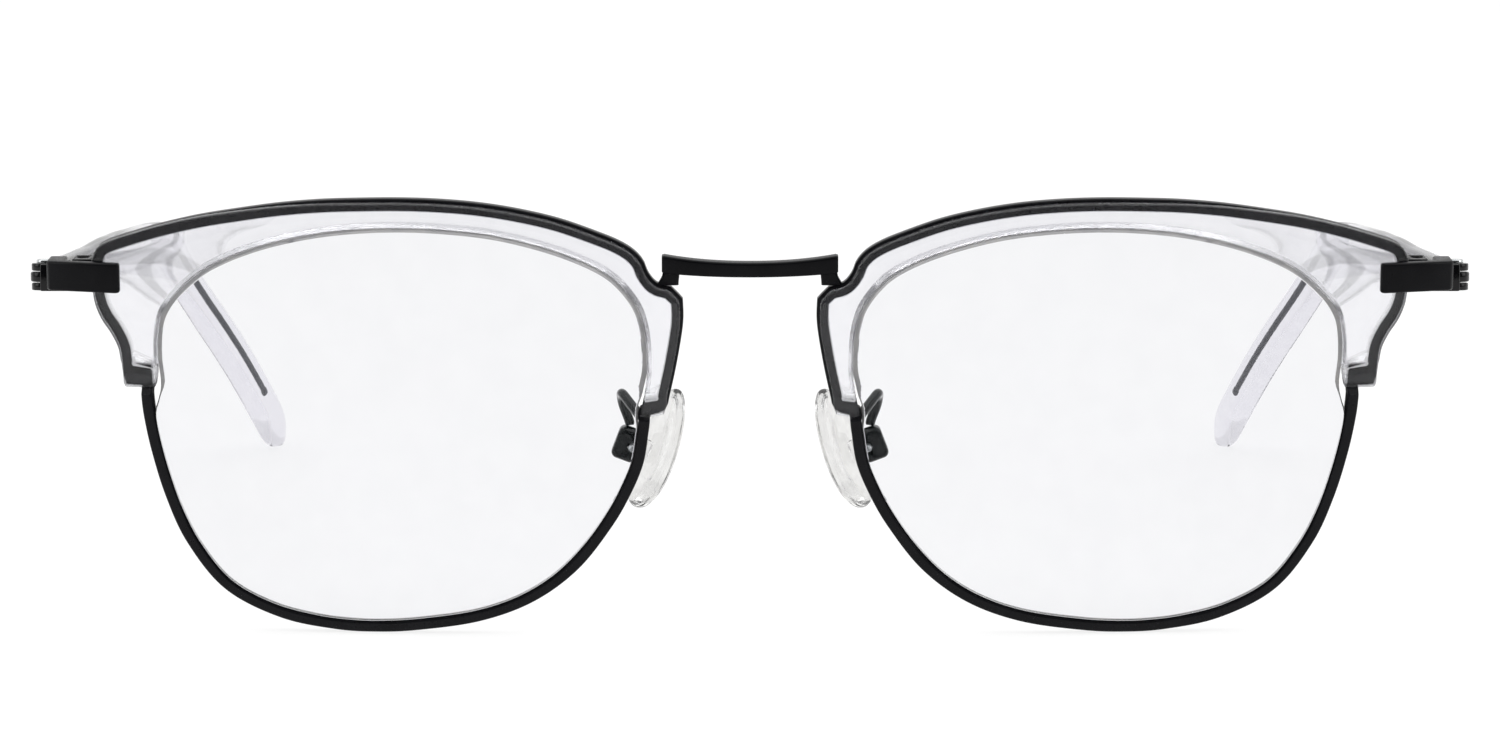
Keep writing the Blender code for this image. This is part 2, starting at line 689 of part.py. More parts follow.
def build_front_hinge(side_name, side):
    """Plate with the two end knuckles, each on its own web."""
    ob = block(side_name + '_front_hinge', hinge_point, (-2.65, 0.15), (-2.55, -1.62),
               both(HINGE_HALF_H), BLACK, side)
    for low in (-HINGE_HALF_H, HINGE_HALF_H - END_KNUCKLE_H):
        knuckle = hinge_rod('knuckle', low, KNUCKLE_R, END_KNUCKLE_H, side)
        web = block('web', hinge_point, (-0.95, 0.05), (-2.0, -0.2),
                    (low + WEB_INSET, low + END_KNUCKLE_H - WEB_INSET), BLACK, side)
        boolean(knuckle, web, 'UNION')
        boolean(ob, knuckle, 'UNION')
    return bore_hinge(ob, side)


def build_hinge_screw(side_name, side):
    top = 2 * HINGE_HALF_H - PIN_INSET    # top of the knuckles above the pin's foot
    profile = ((PIN_R, 0.0), (PIN_R, top + 0.02), (0.85, top + 0.02), (0.85, top + 0.28),
               (0.72, top + 0.40))
    return slotted_screw(
        side_name + '_hinge_screw', hinge_point(0, 0, PIN_INSET - HINGE_HALF_H), HINGE_AXIS,
        TEMPLE_BACK, profile, count=24, slot_from=top + 0.22, slot_depth=0.5,
        slot_half_width=0.1, slot_axes=(ACROSS, TEMPLE_BACK), mat=STEEL, side=side,
        origin=HINGE)


def build_temple_hinge(side_name, side):
    """Middle knuckle with a leaf that runs back inside the temple."""
    half = MID_KNUCKLE_H / 2
    ob = hinge_rod(side_name + '_temple_hinge', -half, MID_KNUCKLE_R, 2 * half, side,
                   origin=HINGE)
    root = block('root', hinge_point, both(0.45), (0.6, 3.2), both(half - WEB_INSET),
                 BLACK, side)
    boolean(ob, root, 'UNION')
    # the leaf follows the blade's toe-in, so that it sits in the middle of its slot
    rings = []
    for back, half_height in LEAF_STATIONS:
        inner, outer = -TOE * back - LEAF_HALF_THICK, -TOE * back + LEAF_HALF_THICK
        rings.append([hinge_point(inner, back, -half_height),
                      hinge_point(outer, back, -half_height),
                      hinge_point(outer, back, half_height),
                      hinge_point(inner, back, half_height)])
    boolean(ob, skin('leaf', rings, BLACK, side), 'UNION')
    return bore_hinge(ob, side)


# -------------------------------------------------------------------- temples
# Blade centreline from the hinge pin along the straight run, then down the
# bend.  Each entry: (distance back, inward, drop) in the hinge frame.
BLADE = [(back, back * TOE, 0.0) for back in (0.0, 30.0, 60.0, 70.0, 78.0)] + [
    (85.0, 0.75, 0.25), (90.0, 1.3, 1.45), (95.0, 2.2, 4.4), (101.0, 3.9, 8.58),
    (108.0, 5.9, 13.2), (115.0, 7.9, 18.28), (127.0, 11.3, 27.92)]
# (distance along the blade, half height, half thickness)
BLADE_SIZES = [
    (0.0, 1.40, 1.25), (12.0, 1.45, 1.35), (28.0, 1.75, 1.45), (42.0, 2.30, 1.50),
    (54.0, 2.50, 1.50), (86.0, 2.50, 1.50), (102.0, 2.55, 1.45), (122.0, 2.95, 1.45),
    (134.6, 3.05, 1.40)]
CORE_R = 0.50
CORE_END = 126.0                  # along the blade from the hinge pin
CORE_RISE = 0.9                   # core above the blade's middle behind the bend
CHANNEL_GAP = 0.06                # round the core and the hinge leaf
SLEEVE_START = 4.2
SLEEVE_END = 134.6
TIP_START = 130                   # the sleeve's rounded tip begins
BEND_STOPS = [78, 83, 87, 90, 93, 96, 99, 103, 110, 118]


def blade_size(distance):
    """Half height and half thickness of the blade."""
    a, b = next((a, b) for a, b in zip(BLADE_SIZES, BLADE_SIZES[1:]) if distance <= b[0])
    share = (distance - a[0]) / (b[0] - a[0])
    return [a[j] + (b[j] - a[j]) * share for j in (1, 2)]


def blade_line():
    """Fine samples of the blade's centreline as (distance along it, point)."""
    points = [hinge_point(-inward, back, -drop) for back, inward, drop in spline(BLADE, 12)]
    line = [(0.0, points[0])]
    for before, here in zip(points, points[1:]):
        line.append((line[-1][0] + (here - before).length, here))
    return line


BLADE_LINE = blade_line()


def blade_at(distance):
    """Point on the blade's centreline, and the inward and up axes there."""
    (start, p), (end, q) = next(
        (a, b) for a, b in zip(BLADE_LINE, BLADE_LINE[1:]) if distance <= b[0])
    along = (q - p).normalized()
    point = p + (q - p) * ((distance - start) / (end - start))
    inward = Vector((-1, 0, 0))
    inward = (inward - along * inward.dot(along)).normalized()
    return point, inward, along.cross(inward)


def ring_directions(count):
    """Cosine and sine of angles half a step off the axes."""
    angles = [2 * math.pi * (k + 0.5) / count for k in range(count)]
    return [(math.cos(a), math.sin(a)) for a in angles]


def blade_ring(distance, half_height, half_thick, shift=0.0, count=12, power=0.62):
    """Rounded-oblong section across the blade; power 1 is an ellipse."""
    point, inward, up = blade_at(distance)
    ring = []
    for c, s in ring_directions(count):
        c = math.copysign(abs(c) ** power, c)
        s = math.copysign(abs(s) ** power, s)
        ring.append(point + inward * (c * half_thick) + up * (s * half_height + shift))
    return ring


def slot_ring(distance):
    """Rectangular section of the hinge leaf's slot."""
    point, inward, up = blade_at(distance)
    ring = []
    for c, s in ring_directions(12):
        reach = max(abs(c), abs(s))
        ring.append(point + inward * (c / reach * (LEAF_HALF_THICK + CHANNEL_GAP))
                    + up * (s / reach * (LEAF_HALF_HEIGHT + CHANNEL_GAP)))
    return ring


def core_shift(distance):
    """The core wire rises from the blade's middle through the bend."""
    return min(CORE_RISE, max(0.0, CORE_RISE * (distance - 82) / 16))


def build_core(side_name, side):
    stops = [LEAF_END + 0.35, 40, 62] + BEND_STOPS + [CORE_END - 1.0]
    stations = [(d, CORE_R, CORE_R) for d in stops]
    # the last millimetre narrows, then widens across
    stations += [(CORE_END - 0.9, CORE_R * 0.8, CORE_R * 0.8),
                 (CORE_END - 0.75, CORE_R, CORE_R * 1.25),
                 (CORE_END, CORE_R, CORE_R * 1.25)]
    rings = [blade_ring(d, half_height, half_thick, core_shift(d), count=10, power=1.0)
             for d, half_height, half_thick in stations]
    return skin(side_name + '_temple_core', rings, CORE_METAL, side, origin=HINGE)


def build_sleeve(side_name, side):
    rings = []
    # channel for the core, from its blind end, which is wider across
    channel_r = CORE_R + CHANNEL_GAP
    for d in [CORE_END + 0.3, CORE_END - 1.3] + BEND_STOPS[::-1] + [62, 40, LEAF_END + 1.0]:
        widening = 0.16 if d > 120 else 0.0
        rings.append(blade_ring(d, channel_r, channel_r + widening, core_shift(d), power=1.0))
    # slot for the hinge leaf, open at the front end
    rings += [slot_ring(d) for d in (LEAF_END + 0.3, SLEEVE_START)]
    # outer skin, from a slightly narrowed front end to the tip
    half_height, half_thick = blade_size(SLEEVE_START)
    rings.append(blade_ring(SLEEVE_START, half_height - 0.12, half_thick - 0.25))
    for d in ([SLEEVE_START + 0.35, 12, 20, 28, 36, 42, 55, 70] + BEND_STOPS
              + [126, TIP_START]):
        rings.append(blade_ring(d, *blade_size(d)))
    for k in range(1, 5):
        angle = math.pi / 2 * k / 5
        d = TIP_START + (SLEEVE_END - TIP_START) * math.sin(angle)
        half_height, half_thick = blade_size(d)
        rings.append(blade_ring(d, half_height * math.cos(angle) ** 0.8,
                                half_thick * math.cos(angle) ** 0.5))
    return skin(side_name + '_temple_sleeve', rings, ACETATE, side, origin=HINGE)


# ------------------------------------------------------------------ nose pads
# Places are (across, back, up) in the front plane's frame.
PAD_TILT = math.radians(21.0)     # pad's top leans towards the nose
PAD_SPLAY = math.radians(26.0)    # pad's front edge turned towards the nose
PAD_LENGTH, PAD_WIDTH, PAD_THICK = 13.0, 7.4, 2.5
PAD_TAPER = 0.16                  # narrowing to the top, widening to the bottom
PAD_DISH = 0.35                   # hollow in the face away from the nose
PAD_ROWS = 7
PAD_COUNT = 20
PAD_CENTRE = Vector((9.45, 9.0, 16.6))
BOX_CENTRE = Vector((12.35, 8.6, 17.3))
PAD_SCREW_CENTRE = Vector((11.8, 8.6, 17.1))
PAD_SCREW_R = 0.50
PAD_ARM_R = 0.50

PAD_UP = Vector((-math.sin(PAD_TILT), 0.0, math.cos(PAD_TILT)))
PAD_BACK = Vector((0.0, 1.0, 0.0))
PAD_OUT = PAD_BACK.cross(PAD_UP)  # away from the nose
SPLAYED_BACK = PAD_BACK * math.cos(PAD_SPLAY) + PAD_OUT * math.sin(PAD_SPLAY)
SPLAYED_OUT = PAD_OUT * math.cos(PAD_SPLAY) - PAD_BACK * math.sin(PAD_SPLAY)


def pad_frame(centre):
    """Placer for (outward, up the pad, back) from a centre."""
    place = frame(centre, PAD_OUT, PAD_UP, PAD_BACK)
    return lambda a, b, c: front(*place(a, b, c))


def bore_for_pad_screw(ob, gap, mat, side):
    bore = rod('bore', front(*(PAD_SCREW_CENTRE + PAD_BACK * -2)), FRONT_BACK,
               PAD_SCREW_R + gap, 4, mat, side, count=18, ref=(0, 0, 1))
    return boolean(ob, bore)


def pad_ring(row):
    """Egg-shaped ring of the pad, from the nose side (low rows) outwards."""
    latitude = -math.pi / 2 + math.pi * row / PAD_ROWS
    reach = math.cos(latitude) ** 0.55
    height = math.sin(latitude)
    ring = []
    for k in range(PAD_COUNT):
        angle = 2 * math.pi * k / PAD_COUNT
        along, across = math.sin(angle), math.cos(angle)
        half_width = (PAD_WIDTH / 2) * (1.0 - PAD_TAPER * along)
        dish = PAD_DISH * (1 - (along * reach) ** 2) if height > 0 else 0.0
        ring.append(front(*(PAD_CENTRE + PAD_UP * (along * PAD_LENGTH / 2 * reach)
                            + SPLAYED_BACK * (across * half_width * reach)
                            + SPLAYED_OUT * (height * PAD_THICK / 2 - dish))))
    return ring


def build_nose_pad(side_name, side):
    rings = [pad_ring(row) for row in range(1, PAD_ROWS)]
    ob = skin(side_name + '_nose_pad', rings, SILICONE, side, origin=front(*PAD_SCREW_CENTRE))
    # lug that sits in the pad box
    lug = block('lug', pad_frame(PAD_SCREW_CENTRE), (-2.6, 0.75), both(0.95), both(0.45),
                SILICONE, side)
    boolean(ob, lug, 'UNION')
    return bore_for_pad_screw(ob, 0.06, SILICONE, side)


def build_pad_box(side_name, side):
    """Rounded box, slotted on its nose side for the pad's lug."""
    place = pad_frame(BOX_CENTRE)
    ob = block(side_name + '_pad_box', place, both(1.30), both(1.65), both(1.10), BLACK, side)
    bevel(ob, width=0.55, segments=3)
    boolean(ob, block('slot', place, (-3.0, 0.72), both(3.0), both(0.53), BLACK, side))
    return bore_for_pad_screw(ob, 0.04, BLACK, side)


def build_pad_screw(side_name, side):
    axis = FRONT_BACK.normalized()
    y_axis = axis.cross(ACROSS).normalized()
    profile = ((PAD_SCREW_R - 0.1, 0.0), (PAD_SCREW_R, 0.1), (PAD_SCREW_R, 2.3),
               (PAD_SCREW_R - 0.1, 2.4))
    slot_along = (ACROSS + y_axis * 0.6).normalized()
    slot_across = axis.cross(slot_along).normalized()
    return slotted_screw(
        side_name + '_pad_screw', front(*(PAD_SCREW_CENTRE + Vector((0, -1.2, 0)))), axis,
        y_axis, profile, count=18, slot_from=-0.3, slot_depth=0.42, slot_half_width=0.09,
        slot_axes=(slot_along, slot_across), mat=STEEL, side=side)


def build_pad_arm(side_name, side):
    """Round wire looping back from the eyewire, then down to the pad box."""
    end = BOX_CENTRE + PAD_UP * 1.85 + PAD_OUT * 0.45
    start = depth(10.6, 21.6) + WIRE_BACK + 0.28
    # (across, back, up)
    controls = [(10.75, start, 21.5), (11.3, start + 0.9, 22.0), (12.2, 3.9, 22.75),
                (12.75, 5.3, 23.1), (12.9, 6.9, 22.6), (12.75, 8.0, 21.4),
                (end.x + 0.12, end.y, end.z + 0.6), (end.x, end.y, end.z)]
    points = [front(*p) for p in spline(controls, 3)]
    rings = []
    x_axis = ACROSS
    last = len(points) - 1
    for i, point in enumerate(points):
        tangent = (points[min(i + 1, last)] - points[max(i - 1, 0)]).normalized()
        # carry the last ring's axis along, so that the wire doesn't twist
        x_axis = (x_axis - tangent * x_axis.dot(tangent)).normalized()
        rings.append(circle(point, x_axis, tangent.cross(x_axis), PAD_ARM_R, 8))
    return skin(side_name + '_pad_arm', rings, BLACK, side)


# ------------------------------------------------------------------- assembly
SIDE_BUILDERS = (
    build_eyewire, build_insert, build_lens, build_endpiece, build_lower_block,
    build_upper_block, build_rim_screw, build_front_hinge, build_hinge_screw,
    build_temple_hinge, build_core, build_sleeve, build_pad_arm, build_pad_box,
    build_pad_screw, build_nose_pad)


def stand_on_ground(parts):
    """Move the parts onto z = 0 with the footprint's middle at the origin."""
    bpy.context.view_layer.update()
    points = [ob.location + vert.co for ob in parts for vert in ob.data.vertices]
    low = [min(p[j] for p in points) for j in range(3)]
    high = [max(p[j] for p in points) for j in range(3)]
    shift = Vector((-(low[0] + high[0]) / 2, -(low[1] + high[1]) / 2, -low[2]))
    for ob in parts:
        ob.location = ob.location + shift
    bpy.context.view_layer.update()


all_parts = [build_bridge()]
for part_side_name, part_side in SIDES:
    for build in SIDE_BUILDERS:
        all_parts.append(build(part_side_name, part_side))
stand_on_ground(all_parts)
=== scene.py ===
"""Browline eyeglasses: black metal eyewires under clear brow inserts, clear temples.

The front stands in its own frame, in millimetres: x across (0 at the middle of the nose),
y back towards the wearer, z up.  Everything is drawn for the +x (left) side and mirrored
by sign for the right.  Outline points are (x, z).  to_mesh() carries points into the
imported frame's metres.  Each visible piece stands for one CAD node and rides on its body.
"""

import json
import math

import bmesh
import bpy
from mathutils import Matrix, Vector

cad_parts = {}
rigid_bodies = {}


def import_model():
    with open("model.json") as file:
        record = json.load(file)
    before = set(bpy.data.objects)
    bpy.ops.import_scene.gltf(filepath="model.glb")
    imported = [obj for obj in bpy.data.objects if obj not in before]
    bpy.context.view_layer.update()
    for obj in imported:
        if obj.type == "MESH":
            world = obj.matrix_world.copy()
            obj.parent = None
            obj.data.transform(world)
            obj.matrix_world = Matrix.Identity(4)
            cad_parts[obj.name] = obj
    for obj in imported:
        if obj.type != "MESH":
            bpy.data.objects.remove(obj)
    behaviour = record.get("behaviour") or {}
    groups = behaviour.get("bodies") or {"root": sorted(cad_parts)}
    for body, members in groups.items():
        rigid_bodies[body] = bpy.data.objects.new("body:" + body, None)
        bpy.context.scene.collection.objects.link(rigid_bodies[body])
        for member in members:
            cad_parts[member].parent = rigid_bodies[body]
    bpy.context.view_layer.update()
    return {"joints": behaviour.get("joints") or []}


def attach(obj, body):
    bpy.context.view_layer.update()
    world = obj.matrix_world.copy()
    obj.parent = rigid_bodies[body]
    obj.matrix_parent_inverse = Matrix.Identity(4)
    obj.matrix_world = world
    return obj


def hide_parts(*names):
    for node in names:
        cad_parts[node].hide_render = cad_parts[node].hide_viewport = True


for old_object in list(bpy.data.objects):
    bpy.data.objects.remove(old_object, do_unlink=True)

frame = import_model()
JOINTS = {joint["name"]: joint for joint in frame["joints"]}

# ------------------------------------------------------------ driving sizes
MM = 0.001
SIDES = (("right", -1.0), ("left", 1.0))

FRONT_LEAN = math.radians(4.25)
FACE_FORM = math.radians(3.0)
LENS_CENTRE = (34.2, 21.5)
CURVE_RADIUS = 160.0
NOSE_EDGE = 8.5                   # x where the lens surface meets the front plane

WIRE_HALF = 0.60                  # half the eyewire's width
WIRE_BACK = 1.10
WIRE_BARE = -0.90                 # its front face where bare, and under the insert
WIRE_COVERED = -0.15
INSERT_FRONT = -1.25
INSERT_BACK = 1.10
INSERT_EDGE = 0.58                # how far the insert stands outside the wire's centreline

HINGE_PLACE = (70.5, 9.0, 34.2)
TEMPLE_DROP = math.radians(3.5)
TOE = 0.006                       # inward run of the temple per mm back
LEAF_END = 16.0
CORE_R = 0.5
CORE_END = 126.0
SLEEVE_START = 4.2
SLEEVE_END = 134.6

PAD_TILT = math.radians(21.0)
PAD_SPLAY = math.radians(26.0)
PAD_LENGTH, PAD_WIDTH, PAD_THICK = 13.0, 7.4, 2.5
PAD_CENTRE = Vector((9.45, 9.0, 16.6))
PAD_BOX_CENTRE = Vector((12.35, 8.6, 17.3))
PAD_SCREW_CENTRE = Vector((11.8, 8.6, 17.1))
PAD_SCREW_R = 0.50


def lean(x, y, z):
    """Tip a point of the upright front back by its lean."""
    cosine, sine = math.cos(FRONT_LEAN), math.sin(FRONT_LEAN)
    return Vector((x, y * cosine - z * sine, z * cosine + y * sine))


# The hinge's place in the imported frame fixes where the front's own zero lies.
HINGE = lean(*HINGE_PLACE)
SHIFT = Vector(JOINTS["left_temple_fold"]["pos_m"]) / MM - HINGE
UP = lean(0, 0, 1)
ACROSS = Vector((1, 0, 0))


def depth(x, z):
    """Lens mid-surface behind the front plane."""
    centre_x, centre_z = LENS_CENTRE
    flat = (centre_x - NOSE_EDGE) ** 2 / (2 * CURVE_RADIUS)
    return (((x - centre_x) ** 2 + (z - centre_z) ** 2) / (2 * CURVE_RADIUS) - flat
            + math.tan(FACE_FORM) * (x - NOSE_EDGE))


def on_front(point, y):
    """Outline point set y behind the lens mid-surface."""
    return lean(point[0], depth(*point) + y, point[1])


# ------------------------------------------------------------------- outlines
# Eyewire centreline, (x, z): over the brow to the nose, down, under the lens and up again.
BROW = [
    (64.5, 35.45), (64.45, 36.8), (64.1, 37.65), (63.2, 38.2), (61.6, 38.78), (58.3, 39.84),
    (54.3, 40.86), (50.3, 41.6), (46.3, 42.22), (42.3, 42.62), (38.3, 42.8), (34.3, 42.87),
    (30.4, 42.76), (26.5, 42.43), (22.6, 41.8), (18.7, 40.85), (14.7, 39.4), (12.9, 38.6),
    (11.75, 37.85), (11.0, 37.0), (10.6, 36.0), (9.9, 35.0), (9.1, 34.45), (8.1, 34.2)]
NOSE_SIDE = [(7.2, 33.3), (7.15, 31.5), (7.4, 29.5), (7.95, 26.5), (8.6, 23.6)]
NOSE_JOG = [(8.72, 22.87), (10.42, 22.55)]
NOSE_JOG_CORNER = (10.44, 22.50)
LOWER = [
    (10.47, 21.4), (10.6, 20.4), (11.1, 17.4), (12.35, 14.35), (14.2, 11.1), (17.5, 6.85),
    (21.8, 3.62), (27.0, 1.63), (33.1, 0.66), (37.2, 0.42), (41.3, 0.6), (46.7, 1.65),
    (52.0, 4.35), (55.55, 8.9), (57.5, 13.4), (58.8, 17.95), (59.5, 21.5), (59.72, 23.6)]
TEMPLE_JOG = [(59.72, 25.0), (61.6, 25.0)]
TEMPLE_SIDE = [(61.6, 25.6), (61.7, 27.0), (61.97, 28.5), (62.72, 30.0), (63.68, 31.4),
               (64.3, 33.0), (64.5, 35.25)]
# Lens side of the brow insert, from the temple to the nose.
INSERT_INNER = [
    (58.55, 24.3), (58.5, 27.0), (58.45, 29.5), (57.9, 32.0), (56.2, 34.2), (53.8, 36.25),
    (51.0, 37.7), (48.0, 38.8), (45.0, 39.6), (41.5, 40.25), (37.5, 40.65), (33.5, 40.75),
    (30.0, 40.6), (26.0, 40.2), (22.3, 39.45), (18.6, 38.35), (15.6, 37.1), (13.6, 35.9),
    (12.2, 34.5), (11.1, 32.9), (10.5, 31.2), (10.2, 29.2), (10.15, 26.5), (10.4, 24.2),
    (10.85, 22.0)]


# -------------------------------------------------------------- curve helpers
def lerp(start, end, share):
    return tuple(a + (b - a) * share for a, b in zip(start, end))


def offset(point, direction, distance):
    return (point[0] + direction[0] * distance, point[1] + direction[1] * distance)


def span(start, end):
    return Vector((end[0] - start[0], end[1] - start[1]))


def ease(share):
    """Smooth step from 0 to 1."""
    share = max(0.0, min(1.0, share))
    return share * share * (3 - 2 * share)


def quarter(steps):
    """(sine, cosine) pairs from 0 to 90 degrees."""
    angles = [math.pi / 2 * k / steps for k in range(steps + 1)]
    return [(math.sin(angle), math.cos(angle)) for angle in angles]


def circle(radius, count=24):
    angles = [2 * math.pi * k / count for k in range(count)]
    return [(radius * math.cos(angle), radius * math.sin(angle)) for angle in angles]


def octagon(x0, x1, y0, y1, corner):
    """Rectangle with its corners cut off."""
    return ((x0 + corner, y0), (x1 - corner, y0), (x1, y0 + corner), (x1, y1 - corner),
            (x1 - corner, y1), (x0 + corner, y1), (x0, y1 - corner), (x0, y0 + corner))


def spline(points, per_span=8):
    """Catmull-Rom curve through the points."""
    curve, last = [], len(points) - 1
    for i in range(last):
        columns = list(zip(points[max(i - 1, 0)], points[i], points[i + 1],
                           points[min(i + 2, last)]))
        for k in range(per_span):
            share = k / per_span
            curve.append(tuple(
                0.5 * ((2 * start) + (end - before) * share
                       + (2 * before - 5 * start + 4 * end - after) * share * share
                       + (3 * start - before - 3 * end + after) * share ** 3)
                for before, start, end, after in columns))
    curve.append(tuple(points[-1]))
    return curve


def even(points, step):
    """Points at an even spacing along a path, its two ends kept."""
    total = sum(math.dist(start, end) for start, end in zip(points, points[1:]))
    count = max(2, int(round(total / step)))
    spaced, gone, k = [], 0.0, 0
    for start, end in zip(points, points[1:]):
        length = math.dist(start, end)
        while k <= count and total * k / count <= gone + length + 1e-9:
            share = (total * k / count - gone) / length if length > 0 else 0.0
            spaced.append(lerp(start, end, share))
            k += 1
        gone += length
    if len(spaced) < count + 1:
        spaced.append(tuple(points[-1]))
    return spaced


def side_normals(points, closed=False):
    """Mitred normals, with one sign for the whole path: away from the lens centre."""
    normals, count = [], len(points)
    for i, here in enumerate(points):
        if closed:
            before, after = points[i - 1], points[(i + 1) % count]
        else:
            before, after = points[max(i - 1, 0)], points[min(i + 1, count - 1)]
        arriving, leaving = span(before, here), span(here, after)
        if arriving.length < 1e-9:
            arriving = leaving.copy()
        if leaving.length < 1e-9:
            leaving = arriving.copy()
        arriving.normalize()
        leaving.normalize()
        middle = (arriving + leaving).normalized()
        mitre = 1.0 / max(middle.dot(arriving), 0.7)
        normals.append((-middle.y * mitre, middle.x * mitre))
    centre_x, centre_z = LENS_CENTRE
    vote = sum((point[0] - centre_x) * normal[0] + (point[1] - centre_z) * normal[1]
               for point, normal in zip(points, normals))
    if vote < 0:
        normals = [(-x, -z) for x, z in normals]
    return normals


def fillet(before, corner, after, reach=0.55, steps=6):
    """Arc of points that rounds a corner between its neighbours."""
    to_before, to_after = span(corner, before), span(corner, after)
    reach = min(reach, to_before.length * 0.45, to_after.length * 0.45)
    start, end = to_before.normalized() * reach, to_after.normalized() * reach
    arc = []
    for k in range(steps + 1):
        share = k / steps
        x = (1 - share) ** 2 * start.x + share * share * end.x
        z = (1 - share) ** 2 * start.y + share * share * end.y
        arc.append((corner[0] + x, corner[1] + z))
    return arc


# -------------------------------------------------------------- mesh helpers
# A solid is a pair (points, faces) in the front's frame.
def sharpen(mesh, degrees=38):
    mesh.set_sharp_from_angle(angle=math.radians(degrees))


def shade(mesh, degrees=38):
    """Smooth shading that breaks at edges sharper than the angle."""
    mesh.polygons.foreach_set("use_smooth", [True] * len(mesh.polygons))
    sharpen(mesh, degrees)


def to_mesh(name, solid, sign=1.0, *materials, smooth=True, face_materials=None):
    """Mesh object from a solid; sign -1 mirrors it."""
    points, faces = solid
    mesh = bpy.data.meshes.new(name)
    mesh.from_pydata([((x * sign + SHIFT.x) * MM, (y + SHIFT.y) * MM, (z + SHIFT.z) * MM)
                      for x, y, z in points], [], faces)
    if face_materials is not None:
        mesh.polygons.foreach_set("material_index", face_materials)
    work = bmesh.new()
    work.from_mesh(mesh)
    bmesh.ops.recalc_face_normals(work, faces=work.faces)
    work.to_mesh(mesh)
    work.free()
    if smooth:
        shade(mesh)
    else:
        mesh.polygons.foreach_set("use_smooth", [False] * len(mesh.polygons))
    piece = bpy.data.objects.new(name, mesh)
    bpy.context.scene.collection.objects.link(piece)
    for material in materials:
        mesh.materials.append(material)
    return piece


def skin(rings, middles=None):
    """Solid over equal rings; each end closes on a middle point."""
    count = len(rings[0])
    points = [Vector(point) for ring in rings for point in ring]
    faces = []
    for i in range(len(rings) - 1):
        for k in range(count):
            here, beside = i * count + k, i * count + (k + 1) % count
            faces.append((here, beside, beside + count, here + count))
    for end, first in enumerate((0, (len(rings) - 1) * count)):
        centre = len(points)
        if middles:
            points.append(middles[end])
        else:
            points.append(sum((points[first + k] for k in range(count)), Vector()) / count)
        for k in range(count):
            faces.append((first + k, first + (k + 1) % count, centre))
    return points, faces


def box(corners):
    """Solid from eight corners: one four-sided end, then the other."""
    return corners, [(0, 1, 2, 3), (4, 5, 6, 7), (0, 1, 5, 4), (1, 2, 6, 5), (2, 3, 7, 6),
                     (3, 0, 4, 7)]


def brick(place, x_range, y_range, z_range):
    """Box between limits along the three directions that place(x, y, z) uses."""
    (x0, x1), (y0, y1) = x_range, y_range
    return box([place(x, y, z) for z in z_range
                for x, y in ((x0, y0), (x1, y0), (x1, y1), (x0, y1))])


def turned(base, axis, profile, count, start=(1, 0, 0)):
    """Solid of revolution from (radius, height) pairs."""
    axis = Vector(axis).normalized()
    x_axis = (Vector(start) - axis * Vector(start).dot(axis)).normalized()
    y_axis = axis.cross(x_axis)
    return skin([[base + axis * height + x_axis * x + y_axis * y
                  for x, y in circle(radius, count)] for radius, height in profile])


def screw_slot(base, along, beside, axis, half_width=0.1, height=0.5):
    """Cutter for a screwdriver slot."""
    return brick(lambda x, y, z: base + along * x + beside * y + axis * z,
                 (-1, 1), (-half_width, half_width), (0, height))


def apply_modifiers(piece):
    bpy.context.view_layer.update()
    evaluated = piece.evaluated_get(bpy.context.evaluated_depsgraph_get())
    mesh = bpy.data.meshes.new_from_object(evaluated)
    piece.modifiers.clear()
    piece.data = mesh


def combine(piece, other, operation):
    modifier = piece.modifiers.new("fit", "BOOLEAN")
    modifier.operation, modifier.solver, modifier.object = operation, "EXACT", other
    apply_modifiers(piece)
    bpy.data.objects.remove(other, do_unlink=True)


def join(piece, solid, sign):
    combine(piece, to_mesh("joined", solid, sign), "UNION")


def cut(piece, solid, sign):
    combine(piece, to_mesh("cutter", solid, sign), "DIFFERENCE")


def add_shell(piece, other):
    """Put another closed shell into the same mesh, without a boolean."""
    work = bmesh.new()
    work.from_mesh(piece.data)
    work.from_mesh(other.data)
    work.to_mesh(piece.data)
    work.free()
    bpy.data.objects.remove(other, do_unlink=True)


def round_edges(piece, width, segments=3, min_angle=40):
    modifier = piece.modifiers.new("edge", "BEVEL")
    modifier.width, modifier.segments = width * MM, segments
    modifier.limit_method = "ANGLE"
    modifier.angle_limit = math.radians(min_angle)
    apply_modifiers(piece)
    shade(piece.data, 45)


def finish(piece, node, body="front"):
    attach(piece, body)
    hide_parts(node)


# ------------------------------------------------------------- shader helpers
def feed(tree, node, inputs):
    """Set a node's inputs; a socket is linked, anything else is a value."""
    for key, value in inputs.items():
        if isinstance(value, bpy.types.NodeSocket):
            tree.links.new(value, node.inputs[key])
        else:
            node.inputs[key].default_value = value
    return node


def add_node(tree, kind, inputs):
    return feed(tree, tree.nodes.new("ShaderNode" + kind), inputs)


def new_material(name):
    material = bpy.data.materials.new(name)
    material.use_nodes = True
    tree = material.node_tree
    return material, tree, tree.nodes["Principled BSDF"]


def grain(tree, scale, detail, stretch=(1, 1, 1)):
    """Noise over the piece, stretched by axis."""
    coordinates = tree.nodes.new("ShaderNodeTexCoord").outputs["Object"]
    mapping = add_node(tree, "Mapping", {"Scale": stretch, "Vector": coordinates})
    noise = add_node(tree, "TexNoise", {"Scale": scale, "Detail": detail,
                                        "Vector": mapping.outputs["Vector"]})
    return noise.outputs["Fac"]


def spread(tree, value, low, high, from_low=0.3, from_high=0.7, interpolation="LINEAR"):
    node = tree.nodes.new("ShaderNodeMapRange")
    node.interpolation_type = interpolation
    feed(tree, node, {"From Min": from_low, "From Max": from_high, "To Min": low,
                      "To Max": high, "Value": value})
    return node.outputs["Result"]


